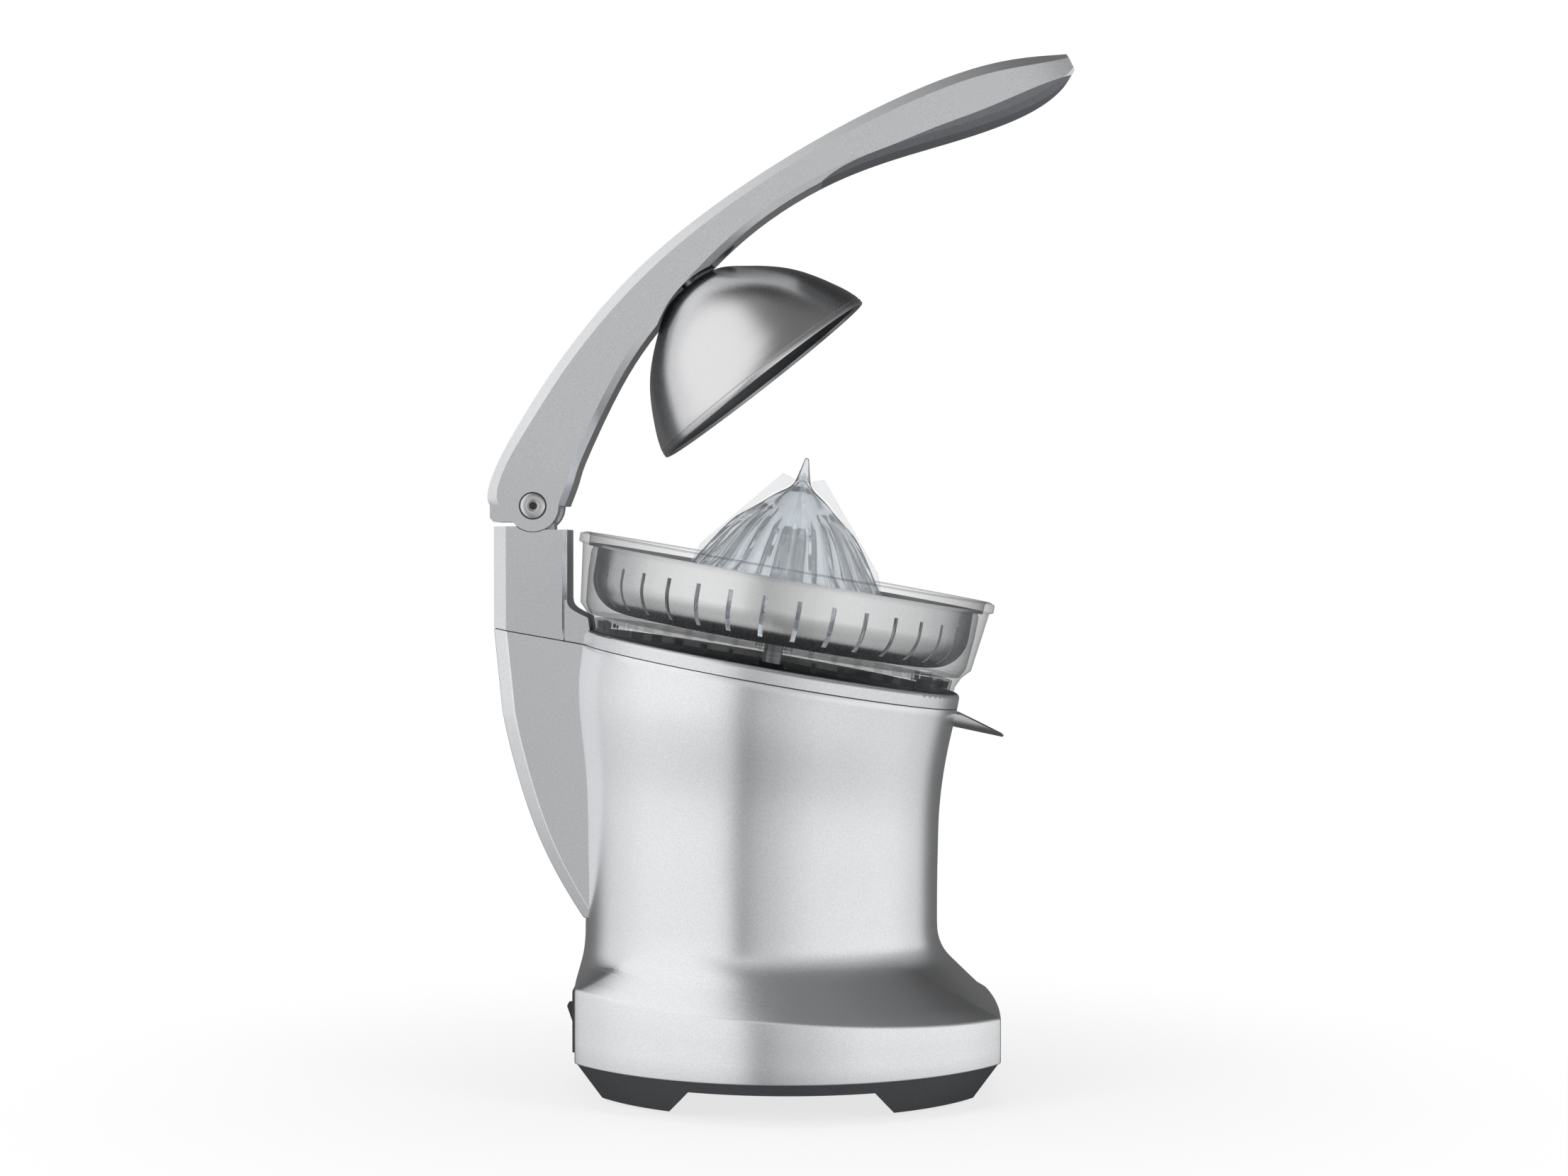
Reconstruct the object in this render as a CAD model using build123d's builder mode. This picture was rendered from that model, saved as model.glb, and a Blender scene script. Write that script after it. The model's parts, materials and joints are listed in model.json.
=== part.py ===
from build123d import *
from math import acos, atan2, cos, degrees, pi, radians, sin, sqrt, tan
import os

os.makedirs("parts", exist_ok=True)

# Citrus press juicer. Millimetres, +Z up, the counter at Z 0, the spout on the +X side.
# The round things on top share one axis, the head axis, which leans towards the spout.
# Heights "t" run along that axis from the bowl's rim, so they are negative below it.

# ---- driving dimensions: head ----
head_tilt = 10
rim_x = 1.7
rim_z = 219
head_x = Vector(cos(radians(head_tilt)), 0, -sin(radians(head_tilt)))
head_z = Vector(sin(radians(head_tilt)), 0, cos(radians(head_tilt)))
head = Plane(origin=(rim_x, 0, rim_z), x_dir=head_x, z_dir=head_z)
head_side = Plane(origin=(rim_x, 0, rim_z), x_dir=head_x, z_dir=(0, -1, 0))
head_axis = Axis(head.origin, head_z)
parting_t = -46
running = 0.05
slack = 0.1

# ---- driving dimensions: base and housing ----
wall = 3
foot_pad_r = 9
pan_bottom = 1.6
arch_top = 11.6
band_base = 16.4
band_top_rear = 47
band_top_front = 35
band_rear = -87
band_front = 90
band_side = 88
band_corner = 41
band_bulge = 1.5
ridge_angle = 45
waist_x = -9.5
waist_z = 60
waist_r = 74
chest_z = 95
neck_t = -62
neck_r = 79.6
collar_r = 80.5
pan_taper = 10
foot_inner_x = 44
foot_inner_y = 22
foot_slope = 8

# ---- driving dimensions: column and spine ----
column_rear = -120.8
column_front = -90
column_width = 39
column_top = 236
column_top_front = 234.6
rear_chamfer = 5.5
front_chamfer = 2
pivot_x = -104.1
pivot_z = 244.5
lug_width = 15
lug_r = 9.5
pin_r = 4
pin_head_r = 5.2
pin_head_depth = 2.4
bush_wall = 1.6
washer = 1
socket_r = 1.9

# ---- driving dimensions: bowl, basket, cone ----
bowl_r = 88.4
bowl_wall = 2.2
bowl_floor_t = -33.2
bowl_floor = 2
skirt_r = 77.9
deck = 3
web_count = 40
web_thickness = 1
neck_bore = 8
basket_r = 80
basket_wall = 1
basket_floor_t = -30
slot_count = 36
slot_width = 1.9
cone_tip_t = 46.5
cone_base_r = 45.5
cone_base_t = -28.4
cone_wall = 2.2
cone_hub_r = 9.3
cone_hub_top_t = 16.5
fin_thickness = 2.2
fin_r = 38
fin_t = 3.5
rib_count = 24

# ---- driving dimensions: drive ----
spindle_r = 4
hex_flats = 8
shoulder_t = -16
module = 1.25
output_teeth = 48
idler_small_teeth = 12
idler_big_teeth = 36
pinion_teeth = 12
gear_backlash = 0.16
plate_t = -60
plate_r = 66
plate_thickness = 3
gear_width = 5
motor_offset = 25
motor_r = 33
motor_length = 56
screw_r = 1.8

# ---- driving dimensions: arm and dome ----
dome_x = -8.2
dome_z = 297.3
dome_tilt = 38.1
dome_r = 52.5
dome_height = 51
dome_wall = 1.2
liner_wall = 2
ball_r = 5.5
ball_h = 43.5
stud_r = 3
dome_swing_gap = 3.4


def keep(block, name):
    # name the finished piece and write it
    block.part.label = name
    export_step(block.part, f"parts/{name}.step")


def at_t(t):
    return head.offset(t)


# ======================================================================
# Housing: band, flare with four ridges, round waist, leaning neck
# ======================================================================
band_slope = (band_top_front - band_top_rear) / (band_front - band_rear)
band_tilt = degrees(atan2(-band_slope, 1))
band_top_plane = Plane(
    origin=(band_rear, 0, band_top_rear),
    x_dir=(cos(radians(band_tilt)), 0, -sin(radians(band_tilt))),
    z_dir=(sin(radians(band_tilt)), 0, cos(radians(band_tilt))),
)


def barrel(inset):
    # plan of the band: crisp corners, bulged sides, nearly flat ends
    rear = band_rear + inset
    front = band_front - inset
    side = band_side - inset
    corner = band_corner - inset / 2
    front_x = front - band_bulge
    rear_x = rear + band_bulge
    with BuildSketch() as plan:
        with BuildLine():
            ThreePointArc((front_x, -corner), (front, 0), (front_x, corner))
            ThreePointArc((front_x, corner), ((front + rear) / 2, side), (rear_x, corner))
            ThreePointArc((rear_x, corner), (rear, 0), (rear_x, -corner))
            ThreePointArc((rear_x, -corner), ((front + rear) / 2, -side), (front_x, -corner))
        make_face()
    return plan.sketch


def leaning(x, z, tilt):
    # a plane across the body that leans towards the spout, its seam at the rear
    return Plane(
        origin=(x, 0, z),
        x_dir=(-cos(radians(tilt)), 0, sin(radians(tilt))),
        z_dir=(sin(radians(tilt)), 0, cos(radians(tilt))),
    )


def body_form(inset, base):
    with BuildSketch(Plane.XY.offset(waist_z)) as waist:
        with BuildLine():
            for start in range(4):
                CenterArc((waist_x, 0), waist_r - inset, ridge_angle + 90 * start, 90)
        make_face()
    with BuildPart() as form:
        with BuildSketch(Plane.XY.offset(base)):
            add(barrel(inset))
        extrude(amount=waist_z - base)
        split(bisect_by=band_top_plane, keep=Keep.BOTTOM)
        band_top = form.faces().sort_by(Axis.Z)[-1]
        loft(sections=[band_top, waist.sketch.face()], ruled=True)
    neck = at_t(neck_t).origin
    top = at_t(parting_t).origin
    with BuildPart() as upper:
        for plane, radius in (
            (leaning(waist_x, waist_z, 0), waist_r),
            (leaning(waist_x, chest_z, 0), waist_r + 0.2),
            (leaning(waist_x + 0.1, chest_z + 30, head_tilt * 0.4), waist_r + 1.2),
            (leaning(neck.X, neck.Z, head_tilt), neck_r),
            (leaning(top.X, top.Z, head_tilt), collar_r),
        ):
            with BuildSketch(plane):
                Circle(radius - inset)
        loft()
    with BuildPart() as whole:
        add(form.part)
        add(upper.part)
    return whole


def spine_outline(inset):
    # side view of the spine behind the body, from the parting plane to the waist
    seam = at_t(parting_t).origin
    top_z = seam.Z + (seam.X - column_rear) * tan(radians(head_tilt))
    with BuildSketch() as outline:
        with BuildLine():
            back = Spline(
                (column_rear + inset, top_z + 5),
                (column_rear + 2 + inset, 168),
                (-112 + inset, 136),
                (-100.6 + inset, 103),
                (-83.6 + inset, 72.7),
                tangents=((0, -1), (0.55, -0.83)),
            )
            Polyline(back @ 1, (-60, 72.7), (-60, top_z + 5), back @ 0)
        make_face()
    return outline.sketch


with BuildPart() as spine:
    with BuildSketch(Plane.XZ):
        add(spine_outline(0))
    extrude(amount=column_width / 2, both=True)
    rear_edges = spine.edges().filter_by(
        lambda e: e.geom_type == GeomType.BSPLINE and abs(abs(e.center().Y) - column_width / 2) < 0.01
    )
    chamfer(rear_edges, rear_chamfer)

with BuildPart() as spine_core:
    with BuildSketch(Plane.XZ):
        add(spine_outline(wall + 1.5))
    extrude(amount=column_width / 2 - wall, both=True)

with BuildPart() as housing:
    add(body_form(0, band_base).part)
    add(spine.part)
    split(bisect_by=at_t(parting_t), keep=Keep.BOTTOM)
    add(spine_core.part, mode=Mode.SUBTRACT)
    add(body_form(wall, band_base - 1).part, mode=Mode.SUBTRACT)


# ======================================================================
# Collar: ring under the bowl, inner deck, column and hinge lug, one casting
# ======================================================================
ring_top_t = -40
deck_top_t = parting_t + deck
bore_r = skirt_r + 0.3
boss_r = 12
post_r = 5
post_circle = 60
post_turn = 20
bush_r = spindle_r + running + 2
seal_r = 8.5
drain_u = 64
drain_r = 5


def gear_posts():
    return PolarLocations(post_circle, 4, start_angle=post_turn)


with BuildPart() as column:
    with BuildSketch(Plane.XZ):
        Polygon(
            (column_rear, 150), (column_front, 150), (column_front, column_top),
            (column_rear, column_top), align=None,
        )
    extrude(amount=column_width / 2, both=True)
    upright = column.edges().filter_by(Axis.Z)
    chamfer(upright.group_by(Axis.X)[0], rear_chamfer)
    chamfer(upright.group_by(Axis.X)[-1], front_chamfer)

with BuildPart() as foot:
    with BuildSketch(Plane.XZ):
        foot_x = column_front + 12
        with BuildLine():
            lip = Spline(
                (foot_x, 196.4), (foot_x - 4.5, 198.6), (column_front + 2.4, 201.3),
                (column_front, 205.5), tangents=((-0.9, 0.43), (0, 1)),
            )
            Polyline(
                lip @ 1, (column_front - 1, 205.5), (column_front - 1, 150), (foot_x, 150), lip @ 0
            )
        make_face()
    extrude(amount=column_width / 2 - 0.5, both=True)

with BuildPart() as saddle:
    with BuildSketch(Plane.XZ):
        with Locations((pivot_x, pivot_z)):
            Circle(lug_r + 1.5)
        Polygon(
            (pivot_x + 4, column_top_front), (column_front + 2, column_top_front),
            (column_front + 2, pivot_z), (pivot_x + 4, pivot_z), align=None,
        )
    extrude(amount=column_width, both=True)

with BuildPart() as lug:
    with BuildSketch(Plane.XZ):
        with Locations((pivot_x, pivot_z)):
            Circle(lug_r)
        Polygon(
            (pivot_x - 8, 225), (pivot_x + 8, 225), (pivot_x + 8, pivot_z - 5),
            (pivot_x - 8, pivot_z - 5), align=None,
        )
    extrude(amount=lug_width / 2, both=True)
    with BuildSketch(Plane.XZ):
        with Locations((pivot_x, pivot_z)):
            Circle(pin_r + running + bush_wall)
    extrude(amount=lug_width, both=True, mode=Mode.SUBTRACT)

with BuildPart() as column_core:
    with BuildSketch(Plane.XZ):
        Polygon(
            (column_rear + wall + 1.5, 150), (column_front - wall, 150),
            (column_front - wall, column_top - 14), (column_rear + wall + 1.5, column_top - 14),
            align=None,
        )
    extrude(amount=column_width / 2 - wall, both=True)

with BuildPart() as collar:
    with BuildSketch(at_t(parting_t)):
        Circle(collar_r)
    extrude(amount=ring_top_t - parting_t)
    fillet(collar.edges().group_by(Axis(head.origin, head_z))[-1], 2)
    add(column.part)
    add(foot.part)
    add(saddle.part, mode=Mode.SUBTRACT)
    add(lug.part)
    split(bisect_by=at_t(parting_t), keep=Keep.TOP)
    add(column_core.part, mode=Mode.SUBTRACT)
    with BuildSketch(at_t(deck_top_t)):
        Circle(bore_r)
    extrude(amount=60, mode=Mode.SUBTRACT)
    # room for the bowl's rounded corner in front of the lip
    with BuildSketch(head_side):
        Polygon(
            (0, ring_top_t), (skirt_r + 0.9, ring_top_t), (80.6, -34.6), (84.4, -30.2),
            (bowl_r + 1.1, -4), (bowl_r + 1.1, 10), (0, 10), align=None,
        )
    revolve(axis=head_axis, mode=Mode.SUBTRACT)
    with BuildSketch(at_t(parting_t)):
        Circle(collar_r - wall - 1)
        Circle(collar_r - wall - 3.5, mode=Mode.SUBTRACT)
        with Locations((collar_r - wall, 0)):
            Rectangle(20, 30, mode=Mode.SUBTRACT)
    extrude(amount=-4)
    with BuildSketch(at_t(parting_t)):
        Circle(boss_r)
        with gear_posts():
            Circle(post_r)
    extrude(amount=plate_t - parting_t)
    with BuildSketch(at_t(deck_top_t)):
        with Locations((drain_u, 0)):
            Circle(drain_r + 2)
    extrude(amount=-10, mode=Mode.SUBTRACT)
    with BuildSketch(at_t(deck_top_t)):
        Circle(bush_r)
    extrude(amount=plate_t - deck_top_t, mode=Mode.SUBTRACT)
    with BuildSketch(at_t(deck_top_t)):
        Circle(seal_r)
    extrude(amount=-3, mode=Mode.SUBTRACT)
    with BuildSketch(at_t(plate_t)):
        with gear_posts():
            Circle(screw_r)
    extrude(amount=8, mode=Mode.SUBTRACT)
keep(collar, "collar")

with BuildPart() as hinge_bush:
    with BuildSketch(Plane.XZ):
        with Locations((pivot_x, pivot_z)):
            Circle(pin_r + running + bush_wall)
            Circle(pin_r + running, mode=Mode.SUBTRACT)
    extrude(amount=lug_width / 2, both=True)
keep(hinge_bush, "hinge_bush")

with BuildPart() as spindle_bushes:
    for start in (deck_top_t - 3, plate_t + 6):
        with BuildSketch(at_t(start)):
            Circle(bush_r)
            Circle(spindle_r + running, mode=Mode.SUBTRACT)
        extrude(amount=-6)
keep(spindle_bushes, "spindle_bushes")

with BuildPart() as shaft_seal:
    with BuildSketch(at_t(deck_top_t)):
        Circle(seal_r)
        Circle(spindle_r + 0.1, mode=Mode.SUBTRACT)
    extrude(amount=-3)
    with BuildSketch(at_t(deck_top_t)):
        Circle(spindle_r + 1.4)
        Circle(spindle_r + 0.1, mode=Mode.SUBTRACT)
    extrude(amount=2)
keep(shaft_seal, "shaft_seal")

# ======================================================================
# Bowl, basket and cone
# ======================================================================


def revolved(points):
    # a solid of revolution about the head axis from straight-sided (radius, t) points
    with BuildPart() as turned:
        with BuildSketch(head_side):
            Polygon(*points, align=None)
        revolve(axis=head_axis)
    return turned


basket_lip_t = -4.2
ledge_t = basket_lip_t - basket_wall - slack
corner_r = 79.9
foot_t = deck_top_t + slack
bowl_points = [
    (86.0, 0), (bowl_r, -0.9), (bowl_r, -4.2), (86.7, -4.9), (83.4, -29.5),
    (corner_r, bowl_floor_t), (skirt_r, -37.5), (skirt_r - 0.3, foot_t),
    (skirt_r - 2.1, foot_t), (skirt_r - 1.8, -37.5), (skirt_r - 1.5, bowl_floor_t - bowl_floor),
    (neck_bore, bowl_floor_t - bowl_floor), (neck_bore, -19), (neck_bore + 1.8, -18),
    (neck_bore + 2, bowl_floor_t), (corner_r - 1, bowl_floor_t), (83.4 - bowl_wall, -29),
    (82.4, -16), (82.6, ledge_t - 2), (81.9, ledge_t), (84.1, ledge_t), (84.3, -1.2), (85.0, 0),
]
with BuildPart() as bowl:
    add(revolved(bowl_points).part)
    with BuildSketch(at_t(bowl_floor_t - bowl_floor - 4)):
        with PolarLocations(73.5, web_count, start_angle=4.5):
            Rectangle(7, web_thickness)
    extrude(amount=4.5)
    with BuildSketch(at_t(bowl_floor_t - bowl_floor)):
        with Locations((drain_u, 0)):
            Circle(drain_r)
    extrude(amount=-13)
    with BuildSketch(at_t(bowl_floor_t)):
        with Locations((drain_u, 0)):
            Circle(drain_r - 1.5)
    extrude(amount=-20, mode=Mode.SUBTRACT)
keep(bowl, "bowl")

hub_r = neck_bore + 2.6
with BuildPart() as basket:
    with BuildSketch(head_side):
        with BuildLine():
            rim = Polyline(
                (83.7, basket_lip_t - basket_wall), (83.7, basket_lip_t), (basket_r - 1, basket_lip_t),
                (basket_r - 1, -17),
            )
            inner_corner = ThreePointArc((basket_r - 1, -17), (76, -25), (67, basket_floor_t))
            middle = Polyline(
                (67, basket_floor_t), (40, basket_floor_t), (36, -25), (hub_r + 1, -25),
                (hub_r + 1, -21), (hub_r, -21), (hub_r, -26), (35.4, -26),
                (39.4, basket_floor_t - basket_wall), (67, basket_floor_t - basket_wall),
            )
            outer_corner = ThreePointArc(
                (67, basket_floor_t - basket_wall), (76.7, -25.7), (basket_r, -17)
            )
            outside = Polyline(
                (basket_r, -17), (basket_r, basket_lip_t - basket_wall),
                (83.7, basket_lip_t - basket_wall),
            )
        make_face()
    revolve(axis=head_axis)
    with BuildSketch(at_t(-28.4)):
        with PolarLocations(75, slot_count, start_angle=5):
            Rectangle(17, slot_width)
    extrude(amount=16.4, mode=Mode.SUBTRACT)
    with BuildSketch(at_t(basket_floor_t + 2)):
        with PolarLocations(55, 24, start_angle=7.5):
            SlotOverall(14, slot_width)
    extrude(amount=-5, mode=Mode.SUBTRACT)
keep(basket, "basket")

cone_points = [
    (0, cone_tip_t), (0.9, cone_tip_t - 0.5), (3.8, 34.5), (11.5, 28.8), (20, 21), (24.2, 17), (34.5, 2.6),
    (40.2, -7), (43.6, -17), (cone_base_r, cone_base_t), (cone_base_r - cone_wall, cone_base_t),
    (41.4, -16.4), (38, -6), (32.4, 1.9), (22.4, 15.2), (18.4, 19), (cone_hub_r, 26.4), (0, 29),
]
with BuildPart() as cone:
    add(revolved(cone_points).part)
    with BuildSketch(at_t(shoulder_t + 2 + slack)):
        Circle(cone_hub_r)
        RegularPolygon(hex_flats / 2 + 0.2, 6, major_radius=False, mode=Mode.SUBTRACT)
    extrude(amount=cone_hub_top_t - shoulder_t - 2)
    with BuildSketch(at_t(cone_hub_top_t - 2)):
        Circle(cone_hub_r - 1)
    extrude(amount=2)
    # hub ribs tie the post to the skirt
    with BuildSketch(at_t(8)):
        with PolarLocations(16, 4, start_angle=45):
            Rectangle(16, 1.6)
    extrude(amount=8)
    # reaming fins, one each way
    with BuildPart(mode=Mode.PRIVATE) as fin:
        with BuildSketch(head_side):
            with BuildLine():
                edge = Polyline((3.4, 37), (8.8, 38.6), (fin_r, fin_t), (45.2, -22))
                Polyline(edge @ 1, (42.6, -20), (33, 1.5), (18, 20.5), (3, 33), edge @ 0)
            make_face()
        extrude(amount=fin_thickness / 2, both=True)
    for turn in range(4):
        add(fin.part.rotate(head_axis, 90 * turn))
    # flutes between the fins
    with BuildPart(mode=Mode.PRIVATE) as rib:
        with BuildSketch(head_side):
            Polygon(
                (17.6, 24.6), (21.2, 21.8), (25.4, 17.8), (35.7, 3.2), (41.2, -6.4), (44.7, -17),
                (44.6, -24), (42, -16), (33.4, 1.4), (23, 15.8), align=None,
            )
        extrude(amount=0.8, both=True)
    for turn in range(rib_count):
        if turn % (rib_count // 4):
            add(rib.part.rotate(head_axis, 360 / rib_count * turn))
keep(cone, "cone")


# ======================================================================
# Drive: spindle, two gear stages, motor
# ======================================================================
output_r = module * output_teeth / 2
small_r = module * idler_small_teeth / 2
big_r = module * idler_big_teeth / 2
pinion_r = module * pinion_teeth / 2
to_idler = output_r + small_r
to_motor = big_r + pinion_r
idler_u = (to_idler**2 - to_motor**2 + motor_offset**2) / (2 * motor_offset)
idler_v = sqrt(to_idler**2 - idler_u**2)
upper_gear_t = plate_t - plate_thickness - 0.6 - gear_width
lower_gear_t = upper_gear_t - 0.8 - gear_width
cover_t = lower_gear_t - 1.2
cover_floor = 3
pressure_angle = radians(20)


def gear_face(teeth, turn, places=5):
    # involute spur gear outline; "turn" is the direction of one tooth's centre, in degrees
    pitch = module * teeth / 2
    base = pitch * cos(pressure_angle)
    tip = pitch + module
    root = pitch - 1.25 * module
    start = max(base, root)
    half_tooth = pi / (2 * teeth) - gear_backlash / (2 * pitch)
    roll = tan(pressure_angle) - pressure_angle
    flank = []
    for i in range(places):
        radius = start + (tip - start) * i / (places - 1)
        at = acos(base / radius)
        flank.append((radius, half_tooth + roll - (tan(at) - at)))
    points = []
    for tooth in range(teeth):
        middle = radians(turn) + 2 * pi * tooth / teeth
        side = [(root, flank[0][1] * 1.05)] + flank
        for radius, away in side:
            points.append((radius * cos(middle - away), radius * sin(middle - away)))
        for radius, away in reversed(side):
            points.append((radius * cos(middle + away), radius * sin(middle + away)))
    return Polygon(*points, align=None)


# each pair shares a line of centres, with a tooth of one in a gap of the other
to_idler_angle = degrees(atan2(idler_v, idler_u))
motor_angle = degrees(atan2(-idler_v, motor_offset - idler_u))
small_turn = to_idler_angle + 180 + 180 / idler_small_teeth
big_turn = motor_angle
pinion_turn = motor_angle + 180 + 180 / pinion_teeth

output_face = gear_face(output_teeth, to_idler_angle)
big_face = gear_face(idler_big_teeth, big_turn)
small_face = gear_face(idler_small_teeth, small_turn)
pinion_face = gear_face(pinion_teeth, pinion_turn)

with BuildPart() as spindle:
    with BuildSketch(at_t(upper_gear_t - 2)):
        Circle(spindle_r)
    extrude(amount=shoulder_t - upper_gear_t + 2)
    with BuildSketch(at_t(shoulder_t)):
        Circle(6.5)
    extrude(amount=2)
    with BuildSketch(at_t(shoulder_t + 2)):
        RegularPolygon(hex_flats / 2, 6, major_radius=False)
    extrude(amount=12 - shoulder_t - 2)
    chamfer(spindle.edges().group_by(head_axis)[-1], 0.8)
keep(spindle, "spindle")

with BuildPart() as output_gear:
    with BuildSketch(at_t(upper_gear_t)):
        add(output_face)
        Circle(spindle_r, mode=Mode.SUBTRACT)
    extrude(amount=gear_width)
    with BuildSketch(at_t(upper_gear_t + gear_width - 1.2)):
        Circle(output_r - 5)
        Circle(9, mode=Mode.SUBTRACT)
    extrude(amount=1.2, mode=Mode.SUBTRACT)
    with BuildSketch(at_t(upper_gear_t)):
        with PolarLocations(16, 6):
            Circle(4)
    extrude(amount=gear_width, mode=Mode.SUBTRACT)
keep(output_gear, "output_gear")

with BuildPart() as idler_pin:
    with BuildSketch(at_t(cover_t)):
        with Locations((idler_u, idler_v)):
            Circle(2.5)
    extrude(amount=plate_t - cover_t)
keep(idler_pin, "idler_pin")

with BuildPart() as idler_gear:
    with BuildSketch(at_t(lower_gear_t)):
        with Locations((idler_u, idler_v)):
            add(big_face)
            Circle(2.5 + running, mode=Mode.SUBTRACT)
    extrude(amount=gear_width)
    with BuildSketch(at_t(lower_gear_t + gear_width)):
        with Locations((idler_u, idler_v)):
            add(small_face)
            Circle(2.5 + running, mode=Mode.SUBTRACT)
    extrude(amount=upper_gear_t - lower_gear_t)
keep(idler_gear, "idler_gear")

with BuildPart() as motor_pinion:
    with BuildSketch(at_t(lower_gear_t)):
        with Locations((motor_offset, 0)):
            add(pinion_face)
            Circle(2.5, mode=Mode.SUBTRACT)
    extrude(amount=gear_width)
keep(motor_pinion, "motor_pinion")

with BuildPart() as gear_plate:
    with BuildSketch(at_t(plate_t)):
        Circle(plate_r)
        Circle(spindle_r + 1, mode=Mode.SUBTRACT)
        with gear_posts():
            Circle(screw_r + 0.1, mode=Mode.SUBTRACT)
        with Locations((idler_u, idler_v)):
            Circle(2.5, mode=Mode.SUBTRACT)
    extrude(amount=-plate_thickness)
keep(gear_plate, "gear_plate")

with BuildPart() as gearbox_cover:
    with BuildSketch(at_t(plate_t - plate_thickness)):
        Circle(plate_r)
    extrude(amount=cover_t - cover_floor - plate_t + plate_thickness)
    with BuildSketch(at_t(cover_t)):
        Circle(plate_r - 2)
    extrude(amount=plate_t - plate_thickness - cover_t, mode=Mode.SUBTRACT)
    with BuildSketch(at_t(cover_t - cover_floor)):
        with gear_posts():
            Circle(5)
    extrude(amount=plate_t - plate_thickness - cover_t + cover_floor)
    with BuildSketch(at_t(cover_t - cover_floor)):
        with gear_posts():
            Circle(screw_r + 0.1)
        with Locations((motor_offset, 0)):
            Circle(9)
    extrude(amount=30, mode=Mode.SUBTRACT)
keep(gearbox_cover, "gearbox_cover")

with BuildPart() as gearbox_screws:
    head_t = cover_t - cover_floor
    with BuildSketch(at_t(head_t)):
        with gear_posts():
            Circle(screw_r)
    extrude(amount=plate_t + 8 - head_t)
    with BuildSketch(at_t(head_t)):
        with gear_posts():
            Circle(3.4)
    extrude(amount=-2.2)
    with BuildSketch(at_t(head_t - 2.2)):
        with gear_posts():
            RegularPolygon(1.5, 6)
    extrude(amount=1.4, mode=Mode.SUBTRACT)
keep(gearbox_screws, "gearbox_screws")

motor_top_t = cover_t - cover_floor
with BuildPart() as motor_can:
    with BuildSketch(at_t(motor_top_t)):
        with Locations((motor_offset, 0)):
            Circle(motor_r)
    extrude(amount=-motor_length)
    fillet(motor_can.edges().group_by(head_axis)[-1], 2.5)
    with BuildSketch(at_t(motor_top_t - 2)):
        with Locations((motor_offset, 0)):
            Circle(motor_r - 2)
    extrude(amount=-motor_length, mode=Mode.SUBTRACT)
    with BuildSketch(at_t(motor_top_t)):
        with Locations((motor_offset, 0)):
            Circle(8.8)
            Circle(2.5 + running, mode=Mode.SUBTRACT)
    extrude(amount=2.5)
    with BuildSketch(at_t(motor_top_t + 3)):
        with Locations((motor_offset, 0)):
            Circle(2.5 + running)
    extrude(amount=-8, mode=Mode.SUBTRACT)
keep(motor_can, "motor_can")

cap_t = motor_top_t - motor_length
with BuildPart() as motor_cap:
    with BuildSketch(at_t(cap_t)):
        with Locations((motor_offset, 0)):
            Circle(motor_r)
            Circle(2.5 + running, mode=Mode.SUBTRACT)
    extrude(amount=-3)
    with BuildSketch(at_t(cap_t)):
        with Locations((motor_offset, 0)):
            with PolarLocations(20, 6):
                SlotOverall(14, 4)
    extrude(amount=-3, mode=Mode.SUBTRACT)
keep(motor_cap, "motor_cap")

with BuildPart() as stator:
    with BuildSketch(at_t(motor_top_t - 8)):
        with Locations((motor_offset, 0)):
            Circle(motor_r - 2)
            Circle(18, mode=Mode.SUBTRACT)
    extrude(amount=-40)
keep(stator, "stator")

with BuildPart() as rotor:
    with BuildSketch(at_t(cap_t - 4)):
        with Locations((motor_offset, 0)):
            Circle(2.5)
    extrude(amount=lower_gear_t + gear_width - cap_t + 4)
    with BuildSketch(at_t(motor_top_t - 8)):
        with Locations((motor_offset, 0)):
            Circle(17)
    extrude(amount=-40)
keep(rotor, "rotor")

# ======================================================================
# Base pan, feet, switch, cord gland, spout
# ======================================================================
pan_floor_z = arch_top + 2.5
pad_places = [(-60, -33), (-60, 33), (63, -33), (63, 33)]

with BuildPart() as base_pan:
    with BuildSketch(Plane.XY.offset(pan_bottom)):
        add(barrel(pan_taper + 1))
    with BuildSketch(Plane.XY.offset(band_base)):
        add(barrel(1))
    loft(ruled=True)
    # arches between the four feet, both ways
    with BuildSketch(Plane.XZ):
        Polygon(
            (-foot_inner_x - 2 + foot_slope, arch_top), (foot_inner_x - foot_slope, arch_top),
            (foot_inner_x + 2, -1), (-foot_inner_x - 4, -1), align=None,
        )
    extrude(amount=band_side + 5, both=True, mode=Mode.SUBTRACT)
    with BuildSketch(Plane.YZ):
        Polygon(
            (-foot_inner_y + foot_slope, arch_top), (foot_inner_y - foot_slope, arch_top),
            (foot_inner_y, -1), (-foot_inner_y, -1), align=None,
        )
    extrude(amount=band_front + 5, both=True, mode=Mode.SUBTRACT)
    with BuildSketch(Plane.XY.offset(band_base)):
        add(barrel(wall + slack))
    extrude(amount=1.5)
    with BuildSketch(Plane.XY.offset(pan_floor_z)):
        add(barrel(wall + 3))
    extrude(amount=10, mode=Mode.SUBTRACT)
    with BuildSketch(Plane.XY.offset(pan_bottom)):
        with Locations(*pad_places):
            Circle(foot_pad_r - 2)
    extrude(amount=1.5, mode=Mode.SUBTRACT)
    with BuildSketch(Plane.XY):
        with GridLocations(10, 6, 5, 3):
            SlotOverall(7, 2)
    extrude(amount=20, mode=Mode.SUBTRACT)
keep(base_pan, "base_pan")

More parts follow.
